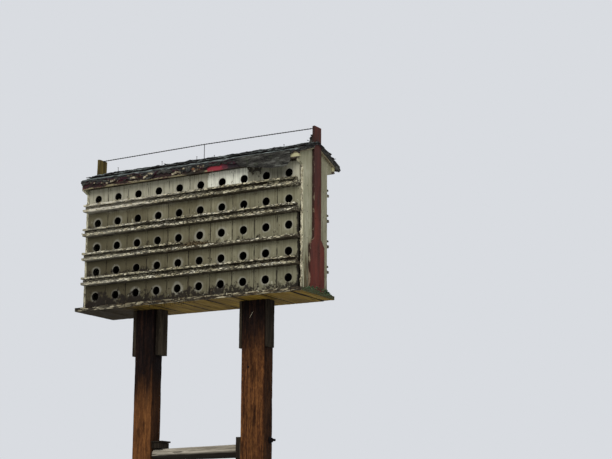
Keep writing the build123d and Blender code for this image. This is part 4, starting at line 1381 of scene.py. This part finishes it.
scatter(flakes, "wall_edge_flakes", [wall_edge], "porch_paint", paint_curl, {
    "Density": 3600.0, "Smallest": 0.008, "Largest": 0.026, "Curl": 0.3, "Seed": 8,
    "Turn": (math.pi / 2, math.pi / 2, 0), "Tilt": 0.4, "Spin": 0.4})

# Splinters and paint curls caught in the torn felt along the eave
caught = [upright_quad(-1, 7.0 - front_eave, start, end, hem_top - 38.0, hem_top - below)
          for start, end, below in ((-435.0, -120.0, 12.0), (-90.0, 210.0, 4.0), (300.0, 640.0, 10.0))]
scatter(flakes, "eave_paint_curls", caught, "fascia_paint", eave_curl, {
    "Density": 1000.0, "Smallest": 0.012, "Largest": 0.046, "Curl": 0.16, "Seed": 11,
    "Turn": (math.pi / 2, 0, 0), "Tilt": 0.22, "Spin": 0.3})

# Mud and straw of old nests on the porches, most where the rail is lost
crumbs = scatter_tree("nest_crumbs", nest_stuff, True)
lost_top = floor_of(LOST_RAIL_TIER)
heap = [flat_quad(LOST_RAIL_START - 4 + 12 * layer, LOST_RAIL_START + 240 - 34 * layer,
                  -PORCH_EDGE + 5 + 3 * layer, -HALF_DEPTH - 2, lost_top + 7 * layer)
        for layer in range(4)]
thin = [flat_quad(LOST_RAIL_START + 225, INNER_RIGHT - 10, -PORCH_EDGE + 20, -HALF_DEPTH - 2, lost_top)]
for face in (-1, 1):
    span = sorted((face * (PORCH_EDGE - 42), face * (HALF_DEPTH + 2)))
    for tier in PORCH_TIERS:
        top = floor_of(tier)
        thin.append(flat_quad(INNER_LEFT + 6, INNER_RIGHT - 6, *span, top))
for name, quads, density, small, large, seed in (
        ("nest_heap_on_porch", heap, 9000.0, 0.008, 0.026, 2),
        ("nest_crumbs_on_porches", thin, 3500.0, 0.004, 0.013, 4)):
    scatter(crumbs, name, quads, "weathered_timber", nest_stuff, {
        "Density": density, "Smallest": small, "Largest": large, "Tilt": 3.0, "Spin": 3.0, "Seed": seed})

# Moss on the deck's right end and over its edge
cushions = [flat_quad(wall_high[0] + 4 + 2 * layer, deck_high[0] - 11, -150.0 + 24 * layer,
                      190.0 - 16 * layer, DECK_TOP - 2.0 + 9 * layer) for layer in range(4)]
edge_x = deck_high[0] - 10.5
cushions.append([(edge_x, -130.0, DECK_TOP - 18), (edge_x, 195.0, DECK_TOP - 16),
                 (edge_x, 195.0, DECK_TOP), (edge_x, -150.0, DECK_TOP)])
scatter(scatter_tree("moss_cushions", moss, True), "deck_end_moss", cushions, "deck_timber", moss, {
    "Density": 19000.0, "Smallest": 0.008, "Largest": 0.017, "Tilt": 3.0, "Spin": 3.0, "Seed": 6})


def nail_tree(material):
    """Round nail heads on the points of a base mesh, a little out of true."""
    tree, identifiers, given = new_tree("nail_heads", {
        "Places": None, "Head Radius": 0.0024, "Proud": 0.0016, "Turn": (0, 0, 0), "Seed": 1})
    head = node(tree, "GeometryNodeMeshCylinder", {
        "Vertices": 9, "Radius": given["Head Radius"], "Depth": given["Proud"]})
    tilt = node(tree, "FunctionNodeRandomValue", {
        0: (-0.15, -0.15, 0.0), 1: (0.15, 0.15, 3.0), "Seed": given["Seed"]}, data_type="FLOAT_VECTOR")
    turn = node(tree, "FunctionNodeRotateRotation", {0: given["Turn"], 1: tilt}, rotation_space="LOCAL")
    points = node(tree, "GeometryNodeMeshToPoints", {"Mesh": given["Places"]})
    heads = node(tree, "GeometryNodeInstanceOnPoints", {"Points": points, "Instance": head, "Rotation": turn})
    finish_tree(tree, heads, material)
    return tree, identifiers


# Nail heads in the corners of the panels, and in rows up the end walls and the red board
heads_tree, heads_inputs = nail_tree(rusted_nail)
sunk = 0.4
on_panels = [(FIRST_COLUMN + column * COLUMN_PITCH + side, floor_of(tier) + rise)
             for column in range(COLUMNS) for tier in ALL_TIERS for side in (-72, 72) for rise in (14, 136)]
on_walls = [(side, floor_of(tier) - 9) for tier in PORCH_TIERS for side in (-146, -104, 104, 146)]
on_board = [(side, height) for side in (-28, 28) for height in (3130, 3340, 3560, 3780, 3980)]
right_face, left_face = wall_high[0] - sunk, size_of("left_end_wall")[0][0] + sunk
board_face = size_of("right_gable_board")[1][0] - sunk
for name, turn, places in (
        ("front_panel_nails", (math.pi / 2, 0, 0), [(x, sunk - HALF_DEPTH, z) for x, z in on_panels]),
        ("back_panel_nails", (-math.pi / 2, 0, 0), [(x, HALF_DEPTH - sunk, z) for x, z in on_panels]),
        ("right_wall_nails", (0, math.pi / 2, 0), [(right_face, y, z) for y, z in on_walls]),
        ("left_wall_nails", (0, -math.pi / 2, 0), [(left_face, y, z) for y, z in on_walls]),
        ("right_board_nails", (0, math.pi / 2, 0), [(board_face, y, z) for y, z in on_board])):
    base = bpy.data.meshes.new(name + "_places")
    base.from_pydata([[c * MM for c in place] for place in places], [], [])
    mesh = grown(heads_tree, heads_inputs, {
        "Head Radius": 2.6 * MM, "Proud": 1.8 * MM, "Turn": turn, "Seed": 5}, name, base)
    dress(name, mesh, "wire_steel", material=rusted_nail)

# Splinters that hang from the rotten front lip of the deck
splinters = []
for index in range(26):
    x = 150.0 + 14.5 * index + 9.0 * jitter(index * 7.0, 1.0, 2.0, 9.0)
    length = 20.0 + 34.0 * abs(jitter(index * 11.0, 5.0, 3.0, 9.0))
    tip = (x + 14.0 * jitter(index * 5.0, 8.0, 1.0, 9.0), -deck_high[1] + 6.0, deck_low[2] - length * 0.6)
    splinters.append(bar(tip, (x, -deck_high[1] + 3.0, deck_low[2] + length * 0.4), 1.0, sides=6, head=3.4))
make_object("deck_lip_splinters", splinters, "deck_timber",
            material=slot_materials["weathered_timber"])

# Pale scratch on the right post's front, where a fork or ladder has grazed it
scratch_y = post_front + 0.4
make_object("post_scratch", [bar((839.0, scratch_y, 2943.0), (866.0, scratch_y, 2984.0), 0.8, sides=6)],
            "post_timber", material=paint_curl)

# Studio floor, painted a pale even grey with a faint mottle, like the backdrop
floor_mesh = bpy.data.meshes.new("studio_floor")
floor_reach = 14.0
corners = [(across * floor_reach, along * floor_reach, 0)
           for across, along in ((-1, -1), (1, -1), (1, 1), (-1, 1))]
floor_mesh.from_pydata(corners, [], [(0, 1, 2, 3)])
floor = bpy.data.objects.new("studio_floor", floor_mesh)
bpy.context.scene.collection.objects.link(floor)
floor_material, tree, shader, place = new_material("pale_painted_studio_floor", roughness=0.8)
mottle = figure(tree, place, (400, 400, 400), 3.0, 0.5)
finish_surface(tree, shader, coat(tree, "#d6d7d6", "#d9dad9", mottle, 0.3, 0.7), mottle, 0.2)
floor_mesh.materials.append(floor_material)
